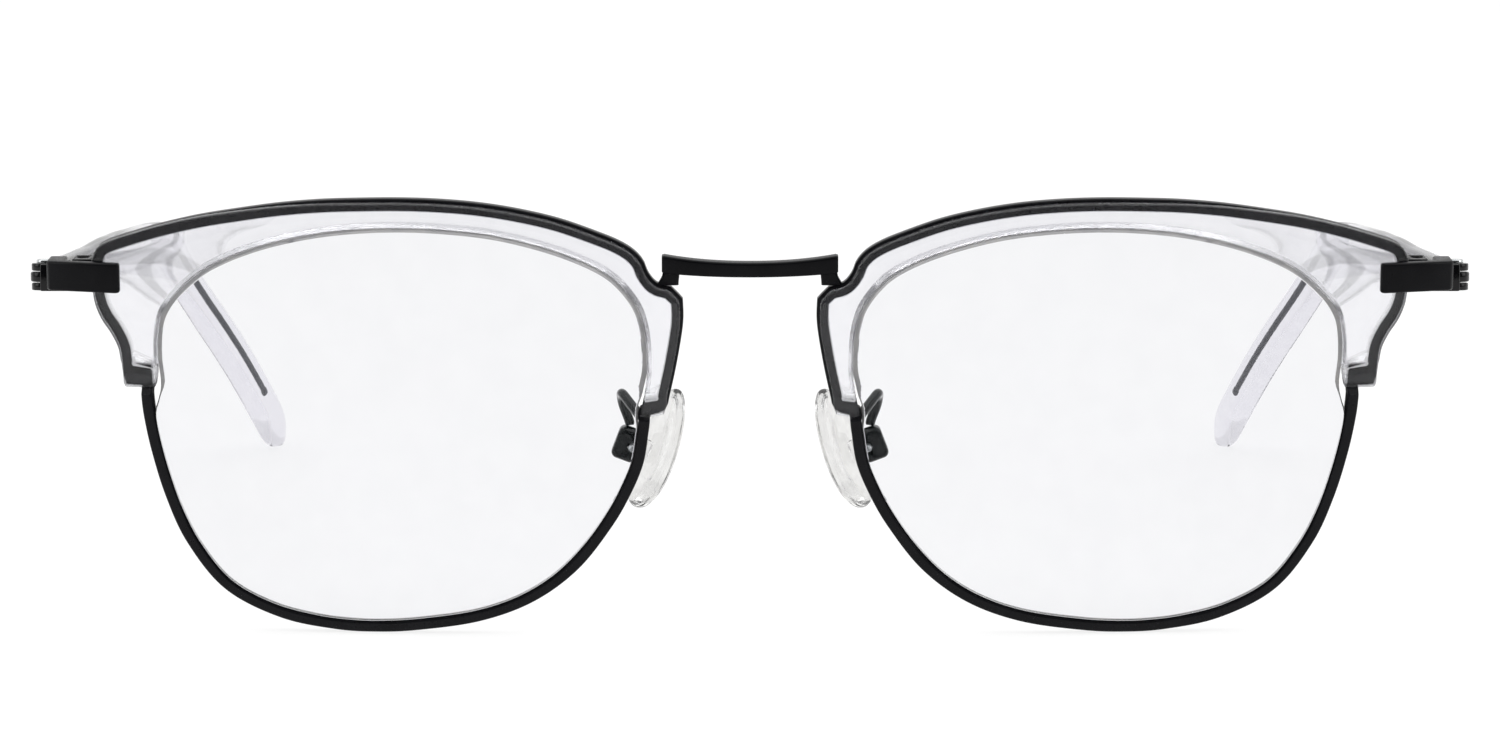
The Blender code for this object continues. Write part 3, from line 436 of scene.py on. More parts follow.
def two_tone(tree, value, dark, light):
    node = add_node(tree, "ValToRGB", {"Fac": value})
    stops = node.color_ramp.elements
    stops[0].position, stops[1].position = 0.35, 0.65
    stops[0].color, stops[1].color = (*dark, 1), (*light, 1)
    return node.outputs["Color"]


def relief(tree, height, strength, distance):
    return add_node(tree, "Bump", {"Strength": strength, "Distance": distance,
                                   "Height": height}).outputs["Normal"]


def math_node(tree, operation, first, second):
    node = tree.nodes.new("ShaderNodeMath")
    node.operation = operation
    return feed(tree, node, {0: first, 1: second}).outputs[0]


def see_through(tree, shader, share, colour=(1, 1, 1)):
    """Replace that share of the surface with plain transparency."""
    clear = add_node(tree, "BsdfTransparent", {"Color": (*colour, 1)})
    mix = add_node(tree, "MixShader", {"Fac": share, 1: shader.outputs["BSDF"],
                                       2: clear.outputs["BSDF"]})
    feed(tree, tree.nodes["Material Output"], {"Surface": mix.outputs["Shader"]})


# ----------------------------------------------------------------- materials
def satin_black(name, dark, light, roughness, specular, painted_edge_highlight):
    """Satin lacquer on metal: orange-peel grain, cloudy sheen, and paler convex edges painted
    on as an edge highlight.
    """
    material, tree, shader = new_material(name)
    fine = grain(tree, scale=5200, detail=4)
    broad = grain(tree, scale=420, detail=2)
    convex = tree.nodes.new("ShaderNodeNewGeometry").outputs["Pointiness"]
    mix = tree.nodes.new("ShaderNodeMix")
    mix.data_type = "RGBA"
    # Paler base colour on convex edges, found by pointiness: a painted edge highlight.
    feed(tree, mix, {
        "Factor": spread(tree, convex, 0.0, painted_edge_highlight, from_low=0.52, from_high=0.62),
        "A": two_tone(tree, broad, dark, light),
        "B": (*(channel * 2.6 for channel in light), 1)})
    feed(tree, shader, {
        "Base Color": mix.outputs["Result"],
        "Roughness": spread(tree, fine, low=roughness - 0.06, high=roughness + 0.08),
        "Normal": relief(tree, fine, strength=0.12, distance=0.00003),
        "Specular IOR Level": specular,
        "Coat Weight": 0.05,
        "Coat Roughness": 0.18})
    return material


def bright_steel(name):
    """Turned steel, its grain drawn out along y."""
    material, tree, shader = new_material(name)
    fine = grain(tree, scale=3800, detail=3, stretch=(1, 0.15, 1))
    broad = grain(tree, scale=900, detail=2)
    feed(tree, shader, {
        "Base Color": two_tone(tree, broad, (0.50, 0.52, 0.53), (0.72, 0.74, 0.74)),
        "Roughness": spread(tree, fine, low=0.16, high=0.34),
        "Normal": relief(tree, fine, strength=0.10, distance=0.00002),
        "Metallic": 1.0})
    return material


def clear_solid(name, dark, light, ior, roughness, shadow, scale=700, bump=0.02, film=None,
                clear=0.0):
    """Clear plastic that refracts, and passes its shadow colour to lamplight.

    roughness is a (low, high) pair, scale is the broad grain's, clear is the share that
    shows straight through, and film tints the reflections off a coating.
    """
    material, tree, shader = new_material(name)
    broad = grain(tree, scale=scale, detail=2)
    fine = grain(tree, scale=5200, detail=3)
    feed(tree, shader, {
        "Base Color": two_tone(tree, broad, dark, light),
        "Roughness": spread(tree, broad, *roughness),
        "Normal": relief(tree, fine, strength=bump, distance=0.00002),
        "Transmission Weight": 1.0,
        "IOR": ior})
    if film:
        feed(tree, shader, {"Specular Tint": (*film, 1)})
    shadow_ray = tree.nodes.new("ShaderNodeLightPath").outputs["Is Shadow Ray"]
    share = math_node(tree, "MAXIMUM", shadow_ray,
                      spread(tree, broad, low=clear * 0.94, high=clear * 1.06))
    see_through(tree, shader, share, shadow)
    return material


def ground_edge(name):
    """The lens's ground bevel: matt, greyish, partly letting light through."""
    material, tree, shader = new_material(name)
    fine = grain(tree, scale=7000, detail=4)
    broad = grain(tree, scale=500, detail=2)
    feed(tree, shader, {
        "Base Color": two_tone(tree, broad, (0.25, 0.25, 0.255), (0.34, 0.335, 0.325)),
        "Roughness": spread(tree, fine, low=0.55, high=0.8),
        "Normal": relief(tree, fine, strength=0.3, distance=0.00004)})
    see_through(tree, shader, spread(tree, fine, low=0.16, high=0.28))
    return material


# The last argument sets how strong the painted edge highlight on convex edges is.
WIRE_BLACK = satin_black("black_satin_wire", dark=(0.0022, 0.0022, 0.0034),
                         light=(0.0046, 0.0046, 0.0062), roughness=0.30, specular=0.12,
                         painted_edge_highlight=0.25)
BAR_BLACK = satin_black("black_satin_bar", dark=(0.0012, 0.0012, 0.0020),
                        light=(0.0030, 0.0030, 0.0040), roughness=0.32, specular=0.08,
                        painted_edge_highlight=0.25)
GLOSS_BLACK = satin_black("black_gloss_metal", dark=(0.0014, 0.0014, 0.0018),
                          light=(0.0026, 0.0026, 0.0032), roughness=0.14, specular=0.24,
                          painted_edge_highlight=0.1)
STEEL = bright_steel("bright_screw_steel")
CORE = satin_black("dark_core_metal", dark=(0.022, 0.022, 0.032),
                   light=(0.036, 0.036, 0.048), roughness=0.30, specular=0.4, painted_edge_highlight=0.2)
ACETATE = clear_solid("clear_acetate", dark=(0.800, 0.800, 0.828),
                      light=(0.835, 0.835, 0.860), ior=1.49, roughness=(0.0, 0.02),
                      shadow=(0.925, 0.925, 0.940), clear=0.38)
SLEEVE = clear_solid("clear_temple_acetate", dark=(0.835, 0.825, 0.870),
                     light=(0.870, 0.862, 0.900), ior=1.12, roughness=(0.0, 0.03),
                     shadow=(0.90, 0.895, 0.925))
LENS = clear_solid("coated_lens", dark=(0.845, 0.847, 0.862), light=(0.860, 0.862, 0.876),
                   ior=1.5, roughness=(0.0, 0.006), shadow=(0.93, 0.93, 0.94), scale=300,
                   bump=0.004, film=(0.10, 0.12, 0.12))
LENS_EDGE = ground_edge("ground_lens_edge")
SILICONE = clear_solid("clear_silicone", dark=(0.740, 0.736, 0.725),
                       light=(0.830, 0.826, 0.815), ior=1.50, roughness=(0.02, 0.08),
                       shadow=(0.80, 0.80, 0.79), scale=900, bump=0.05)

# ------------------------------------------------------------------ eyewires
WIRE_STEP = 0.42
WIRE_CORNER = 0.20                # corner radius on the wire's outer side
# Tabs where the wire jogs, (x, z) corners, and their y limits.
TABS = (((59.20, 24.46), (61.86, 24.46), (61.80, 26.55), (59.20, 26.55)),
        ((8.40, 22.44), (10.72, 22.06), (10.52, 23.62), (8.34, 23.86)))
TAB_LIMITS = (-0.12, 1.04)


def wire_path():
    """Eyewire centreline, from the temple end of the brow round to the same place."""
    nose, lower = spline(NOSE_SIDE), spline(LOWER)
    return even(spline(BROW) + nose[:-1]
                + fillet(nose[-2], *NOSE_JOG)
                + fillet(NOSE_JOG[0], NOSE_JOG_CORNER, LOWER[0])
                + lower[1:-1]
                + fillet(LOWER[-1], *TEMPLE_JOG)
                + fillet(*TEMPLE_JOG, TEMPLE_SIDE[0])
                + spline(TEMPLE_SIDE)[1:], WIRE_STEP)


def wire_cover(x, z):
    """1 where the insert covers the wire, 0 where it is bare."""
    if x < LENS_CENTRE[0]:
        return ease((z - 21.55) / 0.5)
    return ease((z - 23.8) / 0.4)


def wire_section(cover):
    """(outward, back) points of the wire: rounded outside, grooved on the lens side."""
    bare = 1 - cover
    front, back = WIRE_BARE + (WIRE_COVERED - WIRE_BARE) * cover, WIRE_BACK
    outer, corner = WIRE_HALF, WIRE_CORNER
    inner = outer - 0.07 * bare
    roll = 0.10 + 0.20 * bare
    middle = (front + back) / 2 * cover
    groove_half = min(0.60, (back - front) * 0.30)
    groove = 0.35 * bare + 0.13 * cover
    section = [(outer - corner + corner * sine, front + corner - corner * cosine)
               for sine, cosine in quarter(4)]
    section += [(outer - corner + corner * cosine, back - corner + corner * sine)
                for sine, cosine in quarter(4)]
    section += [(-inner + 0.08, back), (-inner, back - 0.08), (-inner, middle + groove_half),
                (-inner + groove, middle + groove_half * 0.75),
                (-inner + groove, middle - groove_half * 0.75),
                (-inner, middle - groove_half), (-inner, front + roll)]
    section += [(-inner + roll - roll * cosine, front + roll - roll * sine)
                for sine, cosine in quarter(3)[1:]]
    return section


def build_eyewire(side, sign):
    path = wire_path()
    rings = [[on_front(offset(point, normal, out), y)
              for out, y in wire_section(wire_cover(*point))]
             for point, normal in zip(path, side_normals(path))]
    wire = to_mesh(side + "_eyewire_wire", skin(rings), sign, WIRE_BLACK)
    for corners in TABS:
        solid = box([on_front(corner, y) for y in TAB_LIMITS for corner in corners])
        tab = to_mesh("tab", solid, sign, smooth=False)
        round_edges(tab, 0.14)
        add_shell(wire, tab)
    shade(wire.data)
    finish(wire, side + "_eyewire")


# -------------------------------------------------------------- brow inserts
INSERT_STEP = 0.40
FOOT_STEPS = 6
# Feet at the two ends of the insert: (outer, inner) points.
TEMPLE_FOOT = ((62.10, 24.26), (58.80, 24.30))
TEMPLE_FOOT_TOP = ((62.16, 25.75), (58.53, 25.72))
NOSE_FOOT = ((8.32, 22.16), (10.90, 21.74))
NOSE_FOOT_TOP = (10.4, 24.3)
TEMPLE_FOOT_Z, NOSE_FOOT_Z = 26.75, 24.1    # above these the section is full depth
FRONT_ROUND, LENS_ROUND = 0.26, 0.30        # edge radii of the front face, outer and inner


def lens_angle(point):
    return math.atan2(point[1] - LENS_CENTRE[1], point[0] - LENS_CENTRE[0])


def foot(start, end, normal):
    """Stations between two (outer, inner) pairs, the last left out."""
    return [(lerp(start[0], end[0], k / FOOT_STEPS), lerp(start[1], end[1], k / FOOT_STEPS),
             normal, None) for k in range(FOOT_STEPS)]


def insert_stations():
    """(outer, inner, inner normal, wire's inner side or None), temple to nose."""
    inner_path = spline(INSERT_INNER, 24)
    inner_normals = side_normals(inner_path)
    angles = [lens_angle(point) for point in inner_path]

    def inner_at(angle):
        for k in range(len(inner_path) - 1):
            if angles[k] <= angle <= angles[k + 1]:
                share = (angle - angles[k]) / (angles[k + 1] - angles[k])
                return (lerp(inner_path[k], inner_path[k + 1], share),
                        lerp(inner_normals[k], inner_normals[k + 1], share))
        return inner_path[-1], inner_normals[-1]

    stations = foot(TEMPLE_FOOT, TEMPLE_FOOT_TOP, (1.0, 0.0))
    last = lens_angle(TEMPLE_FOOT_TOP[1]) + 0.004
    path = even(spline(TEMPLE_SIDE) + spline(BROW) + spline(NOSE_SIDE), INSERT_STEP)
    for point, normal in zip(path, side_normals(path)):
        outer = offset(point, normal, INSERT_EDGE - 0.30 * ease((57.0 - point[0]) / 22.0))
        angle = lens_angle(outer)
        if angle < last + math.radians(0.28):
            continue
        if angle > lens_angle(NOSE_FOOT_TOP) - 0.002:
            break
        stations.append((outer, *inner_at(angle), offset(point, normal, -0.66)))
        last = angle
    outer, inner = stations[-1][:2]
    nose_start = ((outer[0] + 0.05, outer[1] - 0.25), (inner[0] + 0.03, inner[1] - 0.22))
    stations += foot(nose_start, NOSE_FOOT, (-1.0, 0.0))
    stations.append((*NOSE_FOOT, (-1.0, 0.0), None))
    return stations


def insert_ring(outer, inner, normal, wire_side, soft):
    """Section that laps the wire's front and, above the feet, its lens side.

    soft shrinks the section to round the insert's ends.
    """
    width = math.hypot(inner[0] - outer[0], inner[1] - outer[1])
    inward = ((inner[0] - outer[0]) / width, (inner[1] - outer[1]) / width)
    middle_z = (outer[1] + inner[1]) / 2
    foot_z = TEMPLE_FOOT_Z if outer[0] > 34 else NOSE_FOOT_Z
    thin = ease((foot_z - middle_z) / 0.7)
    front = INSERT_FRONT + 0.62 * thin + soft
    seat = WIRE_COVERED - 0.04 - soft * 0.4
    back = seat
    if wire_side is None:
        wire_side = offset(outer, inward, 1.3)
    else:
        back = seat + (INSERT_BACK - seat) * ease((middle_z - foot_z + 0.05) / 0.4)
    deep = (back - seat) / (INSERT_BACK - seat)
    groove, lip = 0.44 * deep + 0.02, 0.65 * deep

    def from_outer(distance):
        return offset(outer, inward, distance + soft)

    def from_inner(distance):
        return offset(inner, normal, distance + soft)

    section = [(from_outer(0), seat - 0.01), (from_outer(0), front + 0.30)]
    section += [(from_outer(FRONT_ROUND - FRONT_ROUND * cosine),
                 front + FRONT_ROUND - FRONT_ROUND * sine) for sine, cosine in quarter(4)[1:]]
    section.append((from_outer(width * 0.5), front - 0.05 * (1 - thin)))
    section += [(from_inner(LENS_ROUND - LENS_ROUND * sine),
                 front + LENS_ROUND - LENS_ROUND * cosine) for sine, cosine in quarter(4)]
    section += [
        # groove that takes the lens
        (from_inner(0), min(max(-lip, front + 0.36), back - 0.06)),
        (from_inner(groove), min(-0.18, back - 0.05)),
        (from_inner(groove), min(0.18, back - 0.04)),
        (from_inner(0), min(lip, back - 0.03)),
        # back edge, then along the wire
        (from_inner(0), back - 0.02 - 0.18 * deep),
        (from_inner(0.06), back - 0.01 - 0.05 * deep),
        (from_inner(0.22), back),
        (wire_side, back),
        (offset(wire_side, inward, -0.02), seat + (back - seat) * 0.5),
        (wire_side, seat)]
    return [on_front(point, y) for point, y in section]


def build_insert(side, sign):
    stations = insert_stations()
    rings = []
    for i, station in enumerate(stations):
        end = min(i, len(stations) - 1 - i)
        rings.append(insert_ring(*station, soft=(0.16, 0.05, 0.0)[min(end, 2)]))
    insert = to_mesh(side + "_clear_brow_insert", skin(rings), sign, ACETATE)
    finish(insert, side + "_brow_insert")


# -------------------------------------------------------------------- lenses
LENS_HALF = 0.90                  # half thickness, and of the flat on the bevel's tip
LENS_TIP_HALF = 0.12
LENS_STEP = 0.55
# Points (x, z) that join the lower and upper outlines, at the temple and at the nose.
TEMPLE_JOIN = [(58.98, 21.7), (58.66, 23.0), (58.38, 24.1), (58.36, 25.2), (58.5, 26.4)]
NOSE_JOIN = [(10.12, 26.4), (10.38, 25.2), (10.66, 24.0), (11.06, 22.9), (11.10, 21.9),
             (11.0, 20.9)]
# Rings of each lens face, as shares of the way from the centre to the edge.
FACE_RINGS = [0.05 * k for k in range(1, 20)] + [0.975, 0.99, 0.996, 0.999]


def lens_outline():
    """Closed outline of the bevel's tip."""
    lower, upper = spline(LOWER, 6), spline(INSERT_INNER, 4)
    in_wire = [offset(point, normal, -0.46)
               for point, normal in zip(lower, side_normals(lower)) if point[1] < 20.3]
    in_insert = [offset(point, normal, 0.10)
                 for point, normal in zip(upper, side_normals(upper)) if point[1] > 27.5]
    control = in_wire[::5] + TEMPLE_JOIN + in_insert[::3] + NOSE_JOIN
    # overlap the ends so the curve closes smoothly, then trim the overlap
    fine = spline([control[-1]] + control + control[:2], 10)[10:-11]
    return even(fine + [fine[0]], LENS_STEP)[:-1]


def build_lens(side, sign):
    tip = lens_outline()
    normals = side_normals(tip, closed=True)
    # the bevel is narrow in the eyewire's groove and wide in the insert's
    wide = [ease((point[1] - 23.6) / 1.6) for point in tip]

    def inset(extra):
        return [offset(point, normal, -(0.17 + 0.36 * share + extra))
                for point, normal, share in zip(tip, normals, wide)]

    def ring(points, y):
        return [on_front(point, y) for point in points]

    def shoulder(facing):
        return [on_front(point, facing * (0.30 + 0.55 * share))
                for point, share in zip(body, wide)]

    def face(y, shares):
        return [ring([lerp(LENS_CENTRE, point, share) for point in rim], y)
                for share in shares]

    body, rim = inset(0), inset(0.05)
    rings = face(-LENS_HALF, FACE_RINGS)
    rings += [ring(rim, -LENS_HALF), ring(body, -LENS_HALF + 0.04), shoulder(-1),
              ring(tip, -LENS_TIP_HALF), ring(tip, LENS_TIP_HALF), shoulder(1),
              ring(body, LENS_HALF - 0.04), ring(rim, LENS_HALF)]
    rings += face(LENS_HALF, FACE_RINGS[::-1])
    solid = skin(rings, [on_front(LENS_CENTRE, y) for y in (-LENS_HALF, LENS_HALF)])
    edge_from, edge_to = len(FACE_RINGS) + 1, len(FACE_RINGS) + 6
    face_materials = [1 if edge_from <= i // len(tip) < edge_to else 0
                      for i in range(len(solid[1]))]
    lens = to_mesh(side + "_lens_glass", solid, sign, LENS, LENS_EDGE,
                   face_materials=face_materials)
    sharpen(lens.data, 24)
    finish(lens, side + "_lens")


# -------------------------------------------------------------------- bridge
BRIDGE_HALF = 8.65
BRIDGE_SPANS = 72
BRIDGE_ROUND = 0.24
LEG_CORNER = 0.2
# Legs down to the eyewires: z, then x from, to, then y from, to.
BRIDGE_LEG = [(36.9, 6.95, 8.55, 0.00, 1.15), (36.3, 6.95, 8.55, 0.05, 1.25),
              (35.75, 6.95, 8.65, 0.15, 1.38), (35.3, 7.00, 8.90, 0.30, 1.42),
              (34.9, 7.02, 9.15, 0.42, 1.44)]


def bridge_ring(x):
    """Rounded rectangle that grows up, down and back towards the bar's ends."""
    share = abs(x) / BRIDGE_HALF
    soft = 0.10 * ease((share - 0.985) / 0.015)
    top, bottom = 37.35 + 0.65 * share ** 2.2 - soft, 35.90 + 0.32 * share ** 2.2 + soft
    front, back = -0.95 + 0.55 * share * share + soft, 0.75 + 0.50 * share * share - soft
    ring = []
    for corner_y, corner_z, to_y, to_z in ((front, bottom, 1, 1), (front, top, 1, -1),
                                           (back, top, -1, -1), (back, bottom, -1, 1)):
        arc = [lean(x, corner_y + to_y * (BRIDGE_ROUND - BRIDGE_ROUND * sine),
                    corner_z + to_z * (BRIDGE_ROUND - BRIDGE_ROUND * cosine))
               for sine, cosine in quarter(4)]
        ring += arc if to_y == to_z else arc[::-1]
    return ring


def build_bridge():
    bar = to_mesh("bridge_bar", skin([
        bridge_ring(-BRIDGE_HALF + 2 * BRIDGE_HALF * i / BRIDGE_SPANS)
        for i in range(BRIDGE_SPANS + 1)]), 1.0, BAR_BLACK)
    leg = skin([[lean(x, y, z) for x, y in octagon(*limits, LEG_CORNER)]
                for z, *limits in BRIDGE_LEG])
    for sign in (-1.0, 1.0):
        join(bar, leg, sign)
    shade(bar.data, 40)
    finish(bar, "bridge")


# ------------------------------------------------------- endpieces and blocks
BAR_IN, BAR_OUT = 62.1, 69.5      # x
BAR_LOW, BAR_HIGH = 33.9, 36.85   # z
BAR_THICK = 1.2
RETURN_IN, RETURN_BACK = 67.75, 6.05  # inner x and back y of the part that turns back

RIM_X, RIM_Y = 66.22, 6.05        # rim screw's axis
BLOCK_X, BLOCK_Y = (65.25, 67.20), (4.75, 7.35)
BLOCK_SPLIT, BLOCK_GAP = 35.35, 0.14
# Closing blocks: name, z from, to, bore radius, rise of the underside's outer edge.
BLOCKS = (("lower", 33.35, BLOCK_SPLIT - BLOCK_GAP / 2, 0.40, 0.45),
          ("upper", BLOCK_SPLIT + BLOCK_GAP / 2, 36.70, 0.42, 0.0))
RIM_SCREW_Z = 33.3
# (radius, height) up the screw: tip, shank, head.
RIM_SCREW = [(0.28, 0.0), (0.36, 0.08), (0.36, 2.77), (0.54, 2.77), (0.58, 2.81),
             (0.58, 3.18), (0.54, 3.26), (0.46, 3.30)]


def build_endpiece(side, sign):
    """Bar in front of the insert, turned back at its outer end."""
    def insert_face(x):
        return depth(x, 35.4) + INSERT_FRONT - 0.16

    slope = (insert_face(66.0) - insert_face(BAR_IN)) / (66.0 - BAR_IN)

    def back(x):
        return insert_face(BAR_IN) + slope * (x - BAR_IN)

    section = [(BAR_IN, back(BAR_IN)), (BAR_IN, back(BAR_IN) - BAR_THICK + 0.35),
               (BAR_IN + 0.45, back(BAR_IN + 0.45) - BAR_THICK),
               (BAR_OUT - 0.4, back(BAR_OUT - 0.4) - BAR_THICK),
               (BAR_OUT, back(BAR_OUT) - BAR_THICK + 0.4), (BAR_OUT, RETURN_BACK),
               (RETURN_IN, RETURN_BACK), (RETURN_IN, back(RETURN_IN))]
    count = len(section)
    points = [lean(x, y, z) for z in (BAR_LOW, BAR_HIGH) for x, y in section]
    faces = [tuple(range(count)), tuple(range(2 * count - 1, count - 1, -1))]
    faces += [(k, (k + 1) % count, (k + 1) % count + count, k + count) for k in range(count)]
    bar = to_mesh(side + "_endpiece_bar", (points, faces), sign, BAR_BLACK, smooth=False)
    round_edges(bar, 0.24, segments=4)
    finish(bar, side + "_endpiece")


def build_closing_blocks(side, sign):
    (x0, x1), (y0, y1) = BLOCK_X, BLOCK_Y
    for level, low, high, bore, rise in BLOCKS:
        solid = box([lean(x0, y0, low), lean(x1, y0, low + rise), lean(x1, y1, low + rise),
                     lean(x0, y1, low), lean(x0, y0, high), lean(x1, y0, high),
                     lean(x1, y1, high), lean(x0, y1, high)])
        block = to_mesh(side + "_closing_block_" + level + "_body", solid, sign, WIRE_BLACK,
                        smooth=False)
        round_edges(block, 0.16)
        cut(block, turned(lean(RIM_X, RIM_Y, low - 1), UP,
                          [(bore, 0), (bore, high - low + 2)], 32), sign)
        if level == "upper":
            # seat for the screw's head
            cut(block, turned(lean(RIM_X, RIM_Y, 36.05), UP, [(0.64, 0), (0.64, 1.5)], 36),
                sign)
        finish(block, side + "_closing_block_" + level)


def build_rim_screw(side, sign):
    base = lean(RIM_X, RIM_Y, RIM_SCREW_Z)
    screw = to_mesh(side + "_rim_screw_turned", turned(base, UP, RIM_SCREW, 36), sign,
                    GLOSS_BLACK)
    cut(screw, screw_slot(base + UP * 3.14, ACROSS, UP.cross(ACROSS), UP), sign)
    sharpen(screw.data)
    finish(screw, side + "_rim_screw")


# --------------------------------------------------------------------- hinges
HINGE_AXIS = Vector((0, math.sin(TEMPLE_DROP), math.cos(TEMPLE_DROP)))
TEMPLE_BACK = Vector((0, math.cos(TEMPLE_DROP), -math.sin(TEMPLE_DROP)))
KNUCKLE_R, MID_KNUCKLE_R, PIN_R, BORE_R = 1.35, 1.45, 0.45, 0.50
MID_KNUCKLE_H, END_KNUCKLE_H, KNUCKLE_GAP = 1.00, 0.75, 0.10
HINGE_HALF = (MID_KNUCKLE_H + 2 * KNUCKLE_GAP + 2 * END_KNUCKLE_H) / 2
LEAF_CORNER = 0.1
# Temple leaf: distance behind the pin, half thickness, half height.
TEMPLE_LEAF = [(2.2, 0.42, 0.62), (2.35, 0.5, 0.72), (2.9, 0.5, 1.15),
               (LEAF_END - 1.2, 0.5, 1.15), (LEAF_END - 0.1, 0.5, 0.66),
               (LEAF_END, 0.42, 0.58)]


def hinge_point(x, y, z):
    """Point outward, back along the temple and up the pin from the hinge's centre."""
    return HINGE + ACROSS * x + TEMPLE_BACK * y + HINGE_AXIS * z


def hinge_turned(z, profile, count):
    return turned(hinge_point(0, 0, z), HINGE_AXIS, profile, count, TEMPLE_BACK)


def knuckle(radius, low, high, edge=0.12):
    return hinge_turned(0, [
        (radius - edge, low), (radius - edge * 0.3, low + edge * 0.3), (radius, low + edge),
        (radius, high - edge), (radius - edge * 0.3, high - edge * 0.3),
        (radius - edge, high)], 48)


def finish_hinge(hinge, sign, node, body):
    """Bore for the pin, then shading."""
    cut(hinge, hinge_turned(-3, [(BORE_R, 0), (BORE_R, 6)], 36), sign)
    shade(hinge.data, 32)
    finish(hinge, node, body=body)


def build_front_hinge(side, sign):
    """Leaf on the front with the lower and upper knuckles."""
    leaf = brick(hinge_point, (-2.65, 0.15), (-2.55, -1.62), (-HINGE_HALF, HINGE_HALF))
    hinge = to_mesh(side + "_front_hinge_leaf", leaf, sign, GLOSS_BLACK, smooth=False)
    round_edges(hinge, 0.14)
    near = MID_KNUCKLE_H / 2 + KNUCKLE_GAP
    far = near + END_KNUCKLE_H
    for low, high in ((-far, -near), (near, far)):
        join(hinge, brick(hinge_point, (-0.95, 0.05), (-2.0, -0.2),
                          (low + 0.04, high - 0.04)), sign)
        join(hinge, knuckle(KNUCKLE_R, low, high), sign)
    finish_hinge(hinge, sign, side + "_front_hinge", "front")


def build_hinge_screw(side, sign):
    start = -HINGE_HALF + 0.05
    shank = 2 * HINGE_HALF - 0.05
    screw = to_mesh(side + "_hinge_screw_turned", hinge_turned(start, [
        (PIN_R - 0.08, 0), (PIN_R, 0.08), (PIN_R, shank + 0.02), (0.79, shank + 0.02),
        (0.85, shank + 0.08), (0.85, shank + 0.24), (0.82, shank + 0.32),
        (0.74, shank + 0.385), (0.60, shank + 0.40)], 44), sign, STEEL)
    slot_base = hinge_point(0, 0, start) + HINGE_AXIS * (shank + 0.22)
    cut(screw, screw_slot(slot_base, ACROSS, TEMPLE_BACK, HINGE_AXIS), sign)
    sharpen(screw.data)
    finish(screw, side + "_hinge_screw")


def build_temple_hinge(side, sign):
    """Middle knuckle, its root and the leaf inside the sleeve."""
    half = MID_KNUCKLE_H / 2
    hinge = to_mesh(side + "_temple_hinge_leaf", knuckle(MID_KNUCKLE_R, -half, half, 0.16),
                    sign, GLOSS_BLACK)
    join(hinge, brick(hinge_point, (-0.45, 0.45), (0.6, 3.2), (-half + 0.04, half - 0.04)),
         sign)
    join(hinge, skin([[hinge_point(-TOE * y + x, y, z)
                       for x, z in octagon(-thick, thick, -tall, tall, LEAF_CORNER)]
                      for y, thick, tall in TEMPLE_LEAF]), sign)
    finish_hinge(hinge, sign, side + "_temple_hinge", side + "_temple")


# -------------------------------------------------------------------- temples
# Temple centreline from the hinge: back, inward, down.
BLADE = [(y, y * TOE, 0.0) for y in (0.0, 30.0, 60.0, 70.0, 78.0)]
BLADE += [(85.0, 0.75, 0.25), (90.0, 1.3, 1.45), (95.0, 2.2, 4.4), (101.0, 3.9, 8.58),
          (108.0, 5.9, 13.2), (115.0, 7.9, 18.28), (127.0, 11.3, 27.92)]
# Sleeve sizes: distance along the centreline, half height, half thickness.
SIZES = [(0.0, 1.40, 1.25), (12.0, 1.45, 1.35), (28.0, 1.75, 1.45), (42.0, 2.30, 1.50),
         (54.0, 2.50, 1.50), (86.0, 2.50, 1.50), (102.0, 2.55, 1.45), (122.0, 2.95, 1.45),
         (134.6, 3.05, 1.40)]
SLEEVE_MOUTH = 0.30               # rounding of the sleeve's front end
SLEEVE_TIP = 130.0                # where the rounded tip begins
# Wider end of the core: distance before its end, height and thickness factors.
CORE_TAIL = ((0.98, 0.80, 0.80), (0.84, 0.80, 0.80), (0.70, 1.0, 1.25), (0.12, 1.0, 1.25),
             (0.0, 0.75, 1.0))


def size_at(along):
    """Sleeve's half height and half thickness, partly eased between table rows."""
    for start, end in zip(SIZES, SIZES[1:]):
        if along <= end[0]:
            share = (along - start[0]) / (end[0] - start[0])
            return lerp(start[1:], end[1:], ease(share) * 0.35 + 0.65 * max(0.0, share))
    return SIZES[-1][1:]


def blade_line():
    """(distance along, point) pairs of the temple centreline."""
    line, along, last = [], 0.0, None
    for back, inward, down in spline(BLADE, 12):
        point = hinge_point(-inward, back, -down)
        if last is not None:
            along += (point - last).length
        line.append((along, point))
        last = point
    return line


LINE = blade_line()


def line_point(along):
    for (start, point), (end, following) in zip(LINE, LINE[1:]):
        if along <= end:
            return point + (following - point) * ((along - start) / (end - start))
    (_, before), (end, last) = LINE[-2:]
    return last + (last - before).normalized() * (along - end)


def blade_ring(along, half_height, half_thick, shift=0.0, count=40, power=0.62):
    """Superellipse round the centreline; the direction is eased over 1.6 mm."""
    direction = (line_point(along + 0.8) - line_point(max(along - 0.8, 0.0))).normalized()
    inward = Vector((-1, 0, 0))
    inward = (inward - direction * inward.dot(direction)).normalized()
    up = direction.cross(inward)
    centre = line_point(along)
    ring = []
    for k in range(count):
        angle = 2 * math.pi * (k + 0.5) / count
        x, z = math.cos(angle), math.sin(angle)
        x = math.copysign(abs(x) ** power, x)
        z = math.copysign(abs(z) ** power, z)
        ring.append(centre + inward * (x * half_thick) + up * (z * half_height + shift))
    return ring


def core_shift(along):
    """How far the core rises inside the sleeve past the bend."""
    return 0.9 * ease((along - 82) / 16)


def stops(start, end, coarse, tight):
    """Distances along the temple, closer together through the bend."""
    distances, along = [], start
    while along < end - 1e-6:
        distances.append(along)
        along += tight if 79 < along < 101 else coarse
    return distances + [end]


